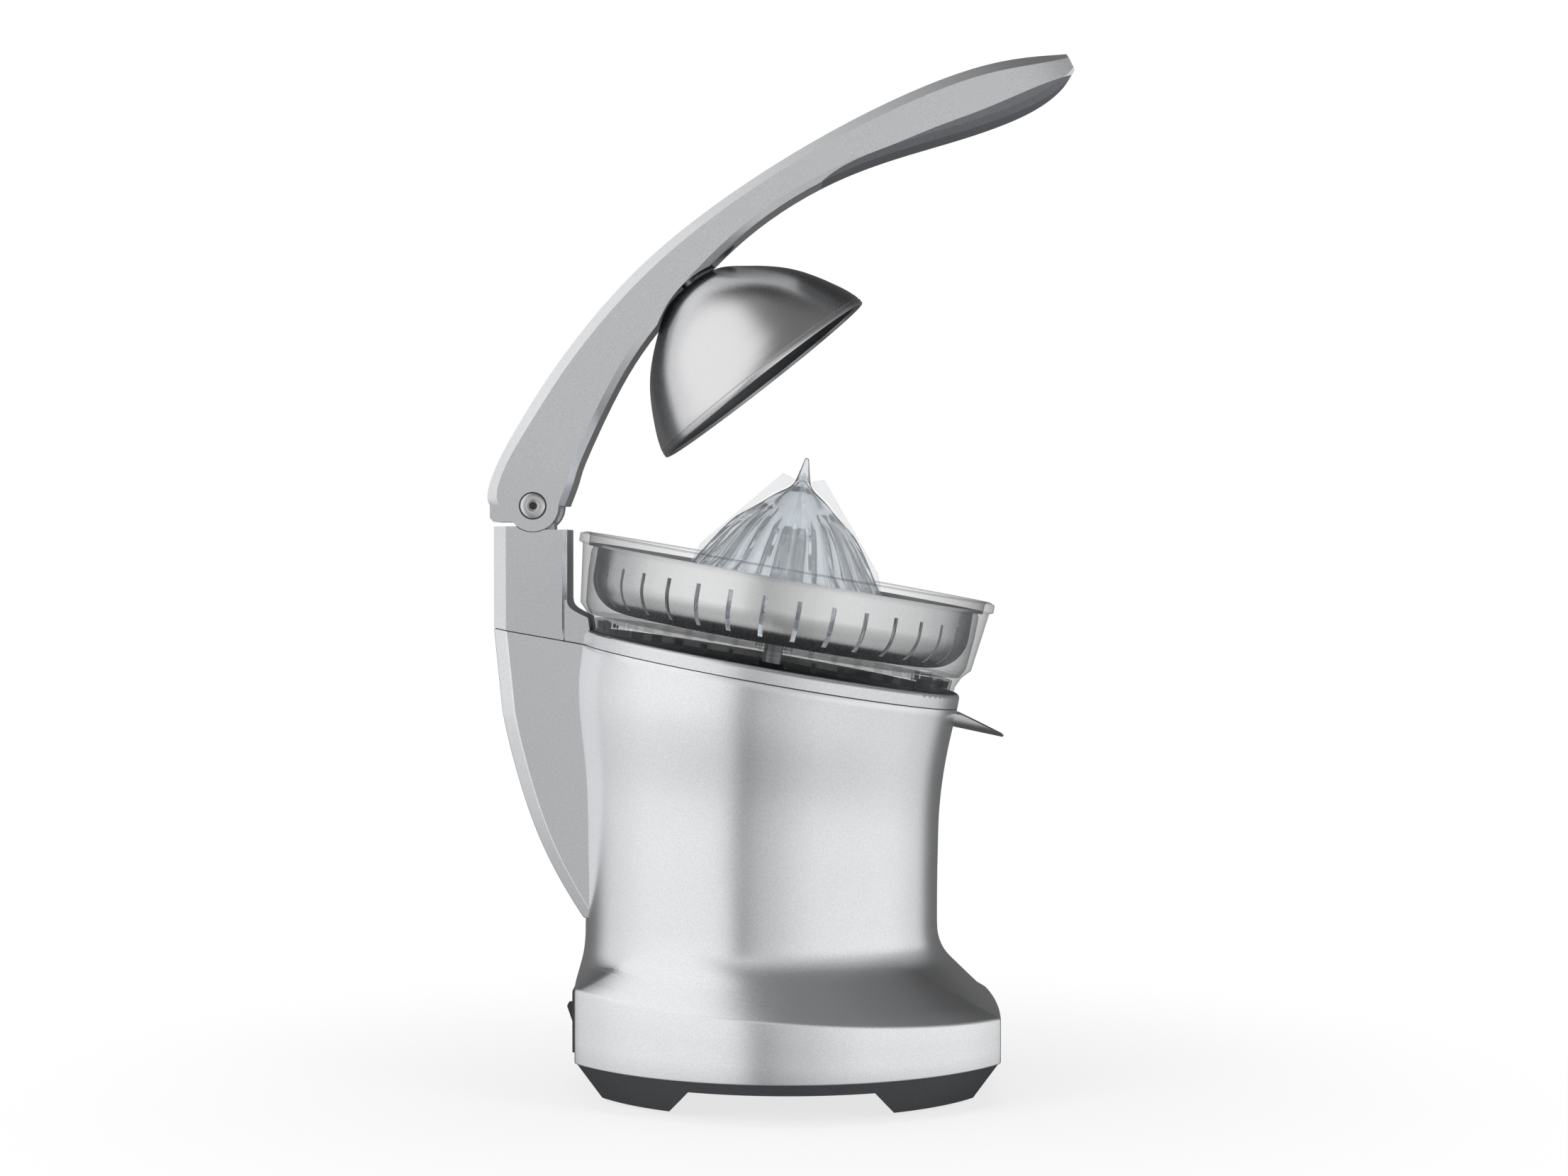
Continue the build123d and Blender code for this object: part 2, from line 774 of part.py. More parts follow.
with BuildPart() as foot_pads:
    with BuildSketch(Plane.XY):
        with Locations(*pad_places):
            Circle(foot_pad_r)
    extrude(amount=pan_bottom)
    with BuildSketch(Plane.XY.offset(pan_bottom)):
        with Locations(*pad_places):
            Circle(foot_pad_r - 2)
    extrude(amount=1.5)
    chamfer(foot_pads.edges().group_by(Axis.Z)[0], 0.5)
keep(foot_pads, "foot_pads")

switch_z = 28.5
switch_high = 26
switch_wide = 22
window_high = 15
window_wide = 12
bezel_face = band_rear - 1.6
rocker_pivot_x = band_rear + 3
gland_y = 26
gland_z = 27
gland_r = 6
cord_r = 3.4

with BuildPart() as switch_bezel:
    with BuildSketch(Plane.YZ.offset(bezel_face)):
        with Locations((0, switch_z)):
            RectangleRounded(switch_wide, switch_high, 2)
    extrude(amount=1.6)
    with BuildSketch(Plane.YZ.offset(bezel_face)):
        with Locations((0, switch_z)):
            Rectangle(switch_wide - 5, switch_high - 5)
    extrude(amount=16)
    with BuildSketch(Plane.YZ.offset(bezel_face)):
        with Locations((0, switch_z)):
            Rectangle(window_wide, window_high)
    extrude(amount=12, mode=Mode.SUBTRACT)
    with BuildSketch(Plane.XZ):
        with Locations((rocker_pivot_x, switch_z)):
            Circle(1.5)
    extrude(amount=window_wide / 2 + 1.5, both=True, mode=Mode.SUBTRACT)
keep(switch_bezel, "switch_bezel")

with BuildPart() as rocker:
    with BuildSketch(Plane.XZ):
        reach = window_high / 2 - 0.9
        Polygon(
            (bezel_face - 2.6, switch_z + reach - 0.6), (bezel_face - 0.2, switch_z - 1),
            (bezel_face - 0.2, switch_z - reach), (rocker_pivot_x + 1, switch_z - reach + 1.6),
            (rocker_pivot_x + 2, switch_z), (rocker_pivot_x + 1, switch_z + reach - 2.6),
            (bezel_face + 0.6, switch_z + reach), align=None,
        )
    extrude(amount=window_wide / 2 - 0.3, both=True)
    with BuildSketch(Plane.XZ):
        with Locations((rocker_pivot_x, switch_z)):
            Circle(1.5 - running)
    extrude(amount=window_wide / 2 + 1.2, both=True)
keep(rocker, "rocker")

with BuildPart() as cord_gland:
    with BuildSketch(Plane.YZ.offset(band_rear - 1)):
        with Locations((gland_y, gland_z)):
            Circle(gland_r + 1.8)
    extrude(amount=1)
    with BuildSketch(Plane.YZ.offset(band_rear - 1)):
        with Locations((gland_y, gland_z)):
            Circle(gland_r)
    extrude(amount=10)
    with BuildSketch(Plane.YZ.offset(band_rear + 5)):
        with Locations((gland_y, gland_z)):
            Circle(gland_r + 1.8)
    extrude(amount=2)
    with BuildSketch(Plane.YZ.offset(band_rear - 5)):
        with Locations((gland_y, gland_z)):
            Circle(cord_r)
    extrude(amount=30, mode=Mode.SUBTRACT)
keep(cord_gland, "cord_gland")

# spout: a steel gutter, its mouth cut off slantwise
spout_drop = 12
spout_wide = 26
spout_deep = 6
spout_wall = 1
spout_start = (57, 160.9)
spout_length = 37
spout_line = Plane(
    origin=(spout_start[0], 0, spout_start[1]), x_dir=(0, 1, 0),
    z_dir=(cos(radians(spout_drop)), 0, -sin(radians(spout_drop))),
)


def gutter(grow):
    # the gutter's section: a shallow arc under a straight top
    half = spout_wide / 2 + grow
    with BuildSketch() as section:
        with BuildLine():
            Line((-half, 0), (half, 0))
            ThreePointArc((half, 0), (0, -spout_deep - grow), (-half, 0))
        make_face()
    return section.sketch


outer_gutter = gutter(0)
inner_gutter = gutter(-spout_wall)
cut_gutter = gutter(slack)
with BuildPart() as spout:
    with BuildSketch(spout_line):
        add(outer_gutter)
        add(inner_gutter, mode=Mode.SUBTRACT)
    extrude(amount=spout_length)
    tip = spout_line.origin + spout_line.z_dir * spout_length
    with BuildSketch(Plane.XZ):
        Polygon(
            (tip.X - 20, tip.Z + 4.6), (tip.X + 1, tip.Z - spout_deep + 0.4), (tip.X + 9, tip.Z + 9),
            (tip.X - 14, tip.Z + 12), align=None,
        )
    extrude(amount=spout_wide, both=True, mode=Mode.SUBTRACT)
keep(spout, "spout")

# openings in the housing for the spout, the switch and the cord gland
with BuildPart() as housing_cut:
    with BuildSketch(spout_line):
        add(cut_gutter)
    extrude(amount=spout_length)
    with BuildSketch(Plane.YZ.offset(band_rear - 5)):
        with Locations((0, switch_z)):
            Rectangle(switch_wide - 5 + 2 * slack, switch_high - 5 + 2 * slack)
    extrude(amount=15)
    with BuildSketch(Plane.YZ.offset(band_rear - 5)):
        with Locations((gland_y, gland_z)):
            Circle(gland_r)
    extrude(amount=15)

with BuildPart() as housing_shell:
    add(housing.part)
    add(housing_cut.part, mode=Mode.SUBTRACT)
keep(housing_shell, "housing")


# ======================================================================
# Arm with its grip, hinge pin and the dome on a ball
# ======================================================================
# side-view stations from the hinge to the tip: outer point, inner point, width
arm_stations = [
    ((-121.9, 244.5), (-91.0, 244.5), 39),
    ((-121.8, 255.5), (-87.0, 255.5), 39),
    ((-110.1, 278.7), (-84.6, 262.8), 38.4),
    ((-94.9, 302.5), (-73.4, 287.1), 37),
    ((-76.7, 326), (-59.7, 310.5), 35.4),
    ((-53.4, 350), (-40, 334.5), 33.6),
    ((-22.7, 374), (-13.7, 360.2), 32),
    ((15.5, 398), (23.7, 383.1), 31.4),
    ((51.3, 416), (58.9, 395.5), 32.4),
    ((84.5, 427.9), (91.2, 405.8), 33),
    ((108, 431.8), (115, 418.6), 29),
    ((117.6, 432.7), (121, 426), 23),
]
outer_chamfer = 4.2
inner_chamfer = 2.8
grip_line = [(15.9, 379.5), (26.5, 386.6), (46, 394.6), (61.6, 401), (83.1, 409), (103.2, 417.6), (121.5, 424.4)]

# the dome's own frame: rim centre, axis through the apex
dome_x_dir = Vector(cos(radians(dome_tilt)), 0, sin(radians(dome_tilt)))
dome_z_dir = Vector(-sin(radians(dome_tilt)), 0, cos(radians(dome_tilt)))
dome_frame = Plane(origin=(dome_x, 0, dome_z), x_dir=dome_x_dir, z_dir=dome_z_dir)
dome_side = Plane(origin=(dome_x, 0, dome_z), x_dir=dome_x_dir, z_dir=(0, -1, 0))
dome_axis = Axis(dome_frame.origin, dome_z_dir)
yoke_rise = 2.2
yoke_deep = 7.5


def dome_solid(inset):
    # the space inside the dome's outer surface, drawn in by inset
    across = (dome_r - inset) / dome_r
    along = (dome_height - inset) / dome_height
    shape = [(13.4, 49.3), (25, 41.6), (38, 29.6), (47.3, 15), (52, 4)]
    with BuildPart() as solid:
        with BuildSketch(dome_side):
            with BuildLine():
                back = Spline(
                    (0, dome_height * along),
                    *[(r * across, h * along) for r, h in shape],
                    (dome_r * across, 0),
                    tangents=((1, 0), (0, -1)),
                )
                Polyline(back @ 1, (0, 0), back @ 0)
            make_face()
        revolve(axis=dome_axis)
    return solid.part


def slab(rise, deep, long, wide):
    # a round-ended slab across the dome's apex, in line with the arm
    with BuildPart() as block:
        with BuildSketch(dome_frame.offset(dome_height - 2 - rise)):
            SlotOverall(long, wide)
        extrude(amount=rise + deep)
    return block.part


dome_swing = dome_solid(-dome_swing_gap)
yoke_long = 50
yoke_wide = 22

with BuildPart() as arm_form:
    for outer, inner, width in arm_stations:
        top = Vector(outer[0], 0, outer[1])
        bottom = Vector(inner[0], 0, inner[1])
        up = (top - bottom).normalized()
        high = (top - bottom).length / 2
        half = width / 2
        trim = min(1, high / 9)
        plane = Plane(origin=(top + bottom) / 2, x_dir=(0, 1, 0), z_dir=(up.Z, 0, -up.X))
        with BuildSketch(plane):
            Polygon(
                (half - outer_chamfer * trim, high), (half, high - outer_chamfer * trim),
                (half, inner_chamfer * trim - high), (half - inner_chamfer * trim, -high),
                (inner_chamfer * trim - half, -high), (-half, inner_chamfer * trim - high),
                (-half, high - outer_chamfer * trim), (outer_chamfer * trim - half, high),
                align=None,
            )
    loft()
    # round lobe over the saddle, and the short flat behind it
    with BuildSketch(Plane.XZ):
        with Locations((pivot_x, pivot_z)):
            Circle(lug_r + 1.2)
        Polygon(
            (pivot_x, 237.8), (-121.9 + 1.5, 237.8), (-121.9, 239.5), (-121.9, pivot_z + 0.5),
            (pivot_x, pivot_z + 0.5), align=None,
        )
    extrude(amount=column_width / 2, both=True)

with BuildPart() as grip_zone:
    with BuildSketch(Plane.XZ):
        with BuildLine():
            top = Spline(*grip_line)
            Polyline(top @ 1, (150, 424), (150, 350), (10, 350), top @ 0)
        make_face()
    extrude(amount=40, both=True)

with BuildPart() as grip:
    add(arm_form.part)
    add(grip_zone.part, mode=Mode.INTERSECT)
keep(grip, "grip")

fork_gap = lug_width + 2 * washer + 0.2
with BuildPart() as arm:
    add(arm_form.part)
    add(grip_zone.part, mode=Mode.SUBTRACT)
    # fork slot, open downwards and to the front
    with BuildSketch(Plane.XZ):
        with Locations((pivot_x, pivot_z)):
            Circle(lug_r + 1.8)
        Polygon(
            (pivot_x - lug_r - 1.8, 225), (pivot_x + 30, 225), (pivot_x + 30, pivot_z),
            (pivot_x - lug_r - 1.8, pivot_z), align=None,
        )
    extrude(amount=fork_gap / 2, both=True, mode=Mode.SUBTRACT)
    with BuildSketch(Plane.XZ):
        with Locations((pivot_x, pivot_z)):
            Circle(pin_r)
    extrude(amount=column_width, both=True, mode=Mode.SUBTRACT)
    for side in (-1, 1):
        with BuildSketch(Plane.XZ.offset(side * (column_width / 2 - pin_head_depth))):
            with Locations((pivot_x, pivot_z)):
                Circle(pin_head_r)
        extrude(amount=side * 10, mode=Mode.SUBTRACT)
    add(dome_swing, mode=Mode.SUBTRACT)
    add(slab(4, yoke_deep, yoke_long, yoke_wide), mode=Mode.SUBTRACT)
    with BuildSketch(dome_frame.offset(ball_h)):
        Circle(stud_r)
    extrude(amount=dome_height - ball_h + 12, mode=Mode.SUBTRACT)
keep(arm, "arm")

with BuildPart() as dome_yoke:
    add(slab(yoke_rise, yoke_deep, yoke_long, yoke_wide))
    add(dome_swing, mode=Mode.SUBTRACT)
    with BuildSketch(dome_frame.offset(ball_h)):
        Circle(stud_r)
    extrude(amount=20, mode=Mode.SUBTRACT)
keep(dome_yoke, "dome_yoke")

ball_centre = dome_frame.origin + dome_z_dir * ball_h
with BuildPart() as ball_stud:
    with BuildSketch(dome_frame.offset(ball_h)):
        Circle(stud_r)
    extrude(amount=dome_height - ball_h + 12)
    with Locations(ball_centre):
        Sphere(ball_r + running, mode=Mode.SUBTRACT)
keep(ball_stud, "ball_stud")

with BuildPart() as dome_ball:
    with Locations(ball_centre):
        Sphere(ball_r)
keep(dome_ball, "dome_ball")

mouth_r = stud_r + 2.2
with BuildPart() as dome:
    add(dome_solid(0))
    add(dome_solid(dome_wall), mode=Mode.SUBTRACT)
    with BuildSketch(dome_frame.offset(dome_height - 6)):
        Circle(mouth_r)
    extrude(amount=12, mode=Mode.SUBTRACT)
keep(dome, "dome")

with BuildPart() as dome_liner:
    add(dome_solid(dome_wall))
    add(dome_solid(dome_wall + liner_wall), mode=Mode.SUBTRACT)
    with BuildSketch(dome_frame.offset(6)):
        with PolarLocations(30, 12, start_angle=15):
            Rectangle(36, 1.6)
    extrude(amount=40)
    add(dome_solid(dome_wall), mode=Mode.INTERSECT)
    with BuildSketch(dome_frame.offset(-1)):
        Circle(60)
    extrude(amount=2.2, mode=Mode.SUBTRACT)
    add(dome_solid(dome_wall + liner_wall + 3), mode=Mode.SUBTRACT)
    with BuildSketch(dome_frame):
        Circle(ball_r + 3.2)
    extrude(amount=dome_height, mode=Mode.SUBTRACT)
keep(dome_liner, "dome_liner")

with BuildPart() as dome_socket:
    add(dome_solid(dome_wall))
    with BuildSketch(dome_frame):
        Circle(ball_r + 3.2)
    extrude(amount=dome_height, mode=Mode.INTERSECT)
    with BuildSketch(dome_frame):
        Circle(60)
    extrude(amount=ball_h - ball_r - 2.5, mode=Mode.SUBTRACT)
    with Locations(ball_centre):
        Sphere(ball_r + running, mode=Mode.SUBTRACT)
    with BuildSketch(dome_frame.offset(ball_h)):
        Circle(mouth_r - 0.8)
    extrude(amount=20, mode=Mode.SUBTRACT)
keep(dome_socket, "dome_socket")

with BuildPart() as friction_washers:
    for side in (-1, 1):
        with BuildSketch(Plane.XZ.offset(side * (fork_gap / 2))):
            with Locations((pivot_x, pivot_z)):
                Circle(lug_r - 1)
                Circle(pin_r, mode=Mode.SUBTRACT)
        extrude(amount=-side * washer)
keep(friction_washers, "friction_washers")

# hinge pin: a cap screw and a cap nut, heads sunk in the fork's cheeks
seat = column_width / 2 - pin_head_depth
with BuildPart() as pivot_pin:
    with BuildSketch(Plane.XZ.offset(-seat)):
        with Locations((pivot_x, pivot_z)):
            Circle(pin_r)
    extrude(amount=2 * seat)
    with BuildSketch(Plane.XZ.offset(seat)):
        with Locations((pivot_x, pivot_z)):
            Circle(pin_head_r)
    extrude(amount=pin_head_depth - 0.4)
    with BuildSketch(Plane.XZ.offset(seat + pin_head_depth - 0.4)):
        with Locations((pivot_x, pivot_z)):
            RegularPolygon(socket_r, 6)
    extrude(amount=-2, mode=Mode.SUBTRACT)
    with BuildSketch(Plane.XZ.offset(-seat)):
        with Locations((pivot_x, pivot_z)):
            Circle(1.6)
    extrude(amount=10, mode=Mode.SUBTRACT)
keep(pivot_pin, "pivot_pin")

with BuildPart() as pivot_nut:
    with BuildSketch(Plane.XZ.offset(-seat)):
        with Locations((pivot_x, pivot_z)):
            Circle(pin_head_r)
    extrude(amount=0.4 - pin_head_depth)
    with BuildSketch(Plane.XZ.offset(-seat)):
        with Locations((pivot_x, pivot_z)):
            Circle(1.6)
    extrude(amount=8)
    with BuildSketch(Plane.XZ.offset(-seat - pin_head_depth + 0.4)):
        with Locations((pivot_x, pivot_z)):
            RegularPolygon(socket_r, 6)
    extrude(amount=1.4, mode=Mode.SUBTRACT)
keep(pivot_nut, "pivot_nut")
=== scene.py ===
import bpy
import bmesh
import json
import math
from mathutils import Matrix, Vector


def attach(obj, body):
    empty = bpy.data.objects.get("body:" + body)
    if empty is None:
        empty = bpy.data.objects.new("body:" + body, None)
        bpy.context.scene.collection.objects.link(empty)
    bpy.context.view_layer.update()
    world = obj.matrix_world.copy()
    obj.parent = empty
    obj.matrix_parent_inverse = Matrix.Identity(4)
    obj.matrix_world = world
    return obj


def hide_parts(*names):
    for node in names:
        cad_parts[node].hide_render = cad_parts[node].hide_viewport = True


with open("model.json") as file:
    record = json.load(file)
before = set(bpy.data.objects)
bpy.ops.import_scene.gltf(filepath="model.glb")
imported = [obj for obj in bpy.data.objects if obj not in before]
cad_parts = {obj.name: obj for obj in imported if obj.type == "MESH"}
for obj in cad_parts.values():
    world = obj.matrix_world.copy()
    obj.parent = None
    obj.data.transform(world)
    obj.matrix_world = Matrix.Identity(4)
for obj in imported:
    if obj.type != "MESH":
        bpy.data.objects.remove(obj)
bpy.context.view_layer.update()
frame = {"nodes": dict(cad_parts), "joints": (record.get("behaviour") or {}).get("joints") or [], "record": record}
nodeBody = {
    node: body for body, nodes in frame["record"]["behaviour"]["bodies"].items() for node in nodes
}
nodeSlot = {row["node"]: row["material_slot"] for row in frame["record"]["subparts"]}
print("frame loaded:", len(nodeBody), "nodes")

# everything round on the body leans with the spindle, and the dome has its own axis
joints = {joint["name"]: joint for joint in frame["joints"]}
headAxis = Vector(joints["cone_spin"]["axis"]).normalized()
headOrigin = Vector(joints["cone_spin"]["pos_m"])
ballCentre = Vector(joints["dome_pitch"]["pos_m"])
domeAcross = Vector(joints["dome_roll"]["axis"]).normalized()
domeAxis = Vector((-domeAcross.z, 0, domeAcross.x))
hingePoint = Vector(joints["arm_hinge"]["pos_m"])


# camera, level with the middle of the body and a little above it
cameraValues = {"place": (0, -1.2, 0.230), "lens": 65.4, "sensor": 36, "tilt": -0.95}
cameraData = bpy.data.cameras.new("camera")
cameraData.lens = cameraValues["lens"]
cameraData.sensor_width = cameraValues["sensor"]
cameraObject = bpy.data.objects.new("camera", cameraData)
cameraObject.location = cameraValues["place"]
cameraObject.rotation_euler = (math.radians(90 + cameraValues["tilt"]), 0, 0)
bpy.context.scene.collection.objects.link(cameraObject)
bpy.context.scene.camera = cameraObject
bpy.context.scene.view_settings.view_transform = "Standard"


# materials
def newMaterial(name, **sockets):
    material = bpy.data.materials.new(name)
    material.use_nodes = True
    shader = material.node_tree.nodes["Principled BSDF"]
    for socket, value in sockets.items():
        shader.inputs[socket.replace("_", " ")].default_value = value
    return material


def addNode(material, kind, **values):
    node = material.node_tree.nodes.new(kind)
    for name, value in values.items():
        if hasattr(node, name):
            setattr(node, name, value)
        else:
            node.inputs[name.replace("_", " ")].default_value = value
    return node


def join(material, start, end):
    material.node_tree.links.new(start, end)


def shaderOf(material):
    return material.node_tree.nodes["Principled BSDF"]


def setSocket(material, socket, source):
    join(material, source, shaderOf(material).inputs[socket])


def place(material, stretch=(1, 1, 1), turn=(0, 0, 0)):
    # object coordinates, turned and stretched for a pattern
    coordinates = addNode(material, "ShaderNodeTexCoord")
    mapping = addNode(material, "ShaderNodeMapping", vector_type="TEXTURE")
    mapping.inputs["Rotation"].default_value = turn
    mapping.inputs["Scale"].default_value = stretch
    join(material, coordinates.outputs["Object"], mapping.inputs["Vector"])
    return mapping.outputs["Vector"]


def noise(material, vector, scale, detail=2, roughness=0.5):
    node = addNode(material, "ShaderNodeTexNoise")
    node.inputs["Scale"].default_value = scale
    node.inputs["Detail"].default_value = detail
    node.inputs["Roughness"].default_value = roughness
    join(material, vector, node.inputs["Vector"])
    return node.outputs["Fac"]


def blendColours(material, factor, low, high, spread=(0.35, 0.65)):
    ramp = addNode(material, "ShaderNodeValToRGB")
    ramp.color_ramp.elements[0].position = spread[0]
    ramp.color_ramp.elements[1].position = spread[1]
    ramp.color_ramp.elements[0].color = (*low, 1)
    ramp.color_ramp.elements[1].color = (*high, 1)
    join(material, factor, ramp.inputs["Fac"])
    return ramp.outputs["Color"]


def blendValues(material, factor, low, high):
    node = addNode(material, "ShaderNodeMapRange")
    node.inputs["To Min"].default_value = low
    node.inputs["To Max"].default_value = high
    join(material, factor, node.inputs["Value"])
    return node.outputs["Result"]


def addBump(material, height, strength, distance):
    bump = addNode(material, "ShaderNodeBump")
    bump.inputs["Strength"].default_value = strength
    bump.inputs["Distance"].default_value = distance
    join(material, height, bump.inputs["Height"])
    setSocket(material, "Normal", bump.outputs["Normal"])


# colours and roughness of the painted and moulded finishes, and how fine their grain is
paintValues = {
    "low": (0.69, 0.70, 0.718), "high": (0.81, 0.822, 0.84),
    "flake": 2300, "metal": 0.90, "rough": 0.28,
}
satinValues = {
    "low": (0.785, 0.795, 0.812), "high": (0.87, 0.88, 0.898),
    "flake": 1900, "metal": 0.96, "rough": 0.25,
}
plasticValues = {
    "low": (0.034, 0.036, 0.041), "high": (0.048, 0.051, 0.057), "grain": 1600, "rough": 0.46,
}
gripValues = {"low": (0.10, 0.105, 0.115), "high": (0.14, 0.145, 0.155), "grain": 2400, "rough": 0.62}
rubberValues = {"low": (0.018, 0.018, 0.019), "high": (0.03, 0.03, 0.032), "grain": 1200, "rough": 0.74}
nylonValues = {"low": (0.62, 0.61, 0.56), "high": (0.70, 0.69, 0.64), "grain": 500, "rough": 0.5}
# painted shade for the collar's recess under the bowl
recessShadeValues = {"low": (0.075, 0.077, 0.082), "high": (0.10, 0.103, 0.108), "grain": 900, "rough": 0.5}
seamShadeValues = {
    "low": (0.02, 0.021, 0.023), "high": (0.035, 0.036, 0.039), "grain": 900, "rough": 0.7,
}

# how each kind of surface varies: noise scales, roughness spread, and bump strength and depth in metres
surfaceValues = {
    "paint": {"cloud": 40, "smoother": 0.03, "rougher": 0.04, "bump": 0.03, "depth": 0.00004},
    "plastic": {"cloud": 60, "spread": 0.08, "bump": 0.35, "depth": 0.00012},
    "steel": {
        "lines": 900, "detail": 4, "soft": 0.7, "shade": 0.9, "smoother": 0.05, "rougher": 0.09,
        "bump": 0.16, "depth": 0.00005,
    },
    "clear": {
        "bend": 1.46, "through": 0.84, "flow": 26, "wear": 160, "smoother": 0.5, "rougher": 1.6,
        "bump": 0.05, "depth": 0.0004,
    },
    "thin": {
        "bend": 1.5, "flow": 30, "wear": 180, "shade": 0.85, "smoother": 0.6, "rougher": 1.5,
        "edgeBlend": 0.13, "bump": 0.04, "depth": 0.0004,
    },
}


def metallicPaint(name, values):
    surface = surfaceValues["paint"]
    material = newMaterial(name, Metallic=values["metal"], Roughness=values["rough"])
    vector = place(material)
    flakes = noise(material, vector, values["flake"], 1)
    setSocket(material, "Base Color", blendColours(material, flakes, values["low"], values["high"]))
    cloud = noise(material, vector, surface["cloud"], 3)
    rough = (values["rough"] - surface["smoother"], values["rough"] + surface["rougher"])
    setSocket(material, "Roughness", blendValues(material, cloud, *rough))
    addBump(material, flakes, surface["bump"], surface["depth"])
    return material


def mouldedPlastic(name, values):
    surface = surfaceValues["plastic"]
    material = newMaterial(name, Roughness=values["rough"])
    vector = place(material)
    grain = noise(material, vector, values["grain"], 3)
    setSocket(material, "Base Color", blendColours(material, grain, values["low"], values["high"]))
    cloud = noise(material, vector, surface["cloud"], 2)
    rough = (values["rough"] - surface["spread"], values["rough"] + surface["spread"])
    setSocket(material, "Roughness", blendValues(material, cloud, *rough))
    addBump(material, grain, surface["bump"], surface["depth"])
    return material


def brushedSteel(name, colour, rough, stretch=(1, 1, 1), turn=0, strength=None):
    # turn is the brushing's lean about the axis from side to side, in degrees
    surface = surfaceValues["steel"]
    material = newMaterial(name, Metallic=1.0, Roughness=rough)
    vector = place(material, stretch, (0, math.radians(turn), 0))
    lines = noise(material, vector, surface["lines"], surface["detail"], surface["soft"])
    shade = tuple(c * surface["shade"] for c in colour)
    setSocket(material, "Base Color", blendColours(material, lines, shade, colour, (0.3, 0.7)))
    spread = (rough - surface["smoother"], rough + surface["rougher"])
    setSocket(material, "Roughness", blendValues(material, lines, *spread))
    addBump(material, lines, strength or surface["bump"], surface["depth"])
    return material


def clearPlastic(name, colour, rough, cloudiness):
    surface = surfaceValues["clear"]
    material = newMaterial(
        name, Roughness=rough, IOR=surface["bend"], Transmission_Weight=surface["through"]
    )
    vector = place(material)
    flow = noise(material, vector, surface["flow"], 2)
    tint = tuple(c * cloudiness for c in colour)
    setSocket(material, "Base Color", blendColours(material, flow, tint, colour))
    wear = noise(material, vector, surface["wear"], 3)
    spread = (rough * surface["smoother"], rough * surface["rougher"])
    setSocket(material, "Roughness", blendValues(material, wear, *spread))
    addBump(material, flow, surface["bump"], surface["depth"])
    return material


def thinClear(name, colour, rough, facing, edge):
    # a clear wall that shows more of itself towards its edges
    surface = surfaceValues["thin"]
    material = newMaterial(name, Roughness=rough, IOR=surface["bend"])
    vector = place(material)
    flow = noise(material, vector, surface["flow"], 2)
    shade = tuple(c * surface["shade"] for c in colour)
    setSocket(material, "Base Color", blendColours(material, flow, shade, colour))
    wear = noise(material, vector, surface["wear"], 3)
    spread = (rough * surface["smoother"], rough * surface["rougher"])
    setSocket(material, "Roughness", blendValues(material, wear, *spread))
    weight = addNode(material, "ShaderNodeLayerWeight")
    weight.inputs["Blend"].default_value = surface["edgeBlend"]
    setSocket(material, "Alpha", blendValues(material, weight.outputs["Facing"], facing, edge))
    addBump(material, flow, surface["bump"], surface["depth"])
    return material


# one finish for each slot of the record, then the ones that only pieces of the scene have
finishes = {
    "silver_paint": metallicPaint("silverPaint", paintValues),
    "satin_metal": metallicPaint("satinMetal", satinValues),
    "dark_plastic": mouldedPlastic("darkPlastic", plasticValues),
    "grip_rubber": mouldedPlastic("gripRubber", gripValues),
    "rubber": mouldedPlastic("blackRubber", rubberValues),
    "nylon": mouldedPlastic("nylon", nylonValues),
    "steel": brushedSteel("basketSteel", (0.93, 0.935, 0.94), 0.24, (1, 1, 0.06), 10),
    "polished_steel": brushedSteel("domeSteel", (0.80, 0.80, 0.81), 0.24, (1, 1, 0.12), -38, 0.05),
    "zinc": brushedSteel("zincSteel", (0.58, 0.585, 0.60), 0.30),
    "brass": brushedSteel("sinteredBronze", (0.62, 0.45, 0.22), 0.42),
    "core": brushedSteel("coreSteel", (0.2, 0.2, 0.205), 0.5, (1, 1, 0.02)),
    "clear_plastic": thinClear("clearPlastic", (0.12, 0.13, 0.14), 0.04, 0.015, 1.0),
    "blue_clear": clearPlastic("blueClearPlastic", (0.92, 0.955, 0.985), 0.04, 0.96),
    # painted shade: darker steel on the basket's inside, and a darker grey in the collar's recess under the bowl
    "steelPaintedShade": brushedSteel("steelPaintedShade", (0.40, 0.40, 0.405), 0.32, (1, 1, 0.06), 10),
    "recessPaintedShade": mouldedPlastic("recessPaintedShade", recessShadeValues),
    "capSteel": brushedSteel("capSteel", (0.74, 0.74, 0.745), 0.22),
    "bladeClear": thinClear("bladeClear", (0.80, 0.84, 0.88), 0.08, 0.16, 0.55),
    "seamShade": mouldedPlastic("seamShade", seamShadeValues),
}
print("materials:", len(finishes))


# shapes are grown ring by ring from a circle, as a turned part is
shapeValues = {
    "startRadius": 0.05, "weld": 0.000004, "skinWeld": 0.000002, "flatten": 0.4, "flatWeight": 80,
}


def onlySelect(piece):
    bpy.ops.object.select_all(action="DESELECT")
    piece.select_set(True)
    bpy.context.view_layer.objects.active = piece


def key(point):
    return tuple(round(c, 7) for c in point)


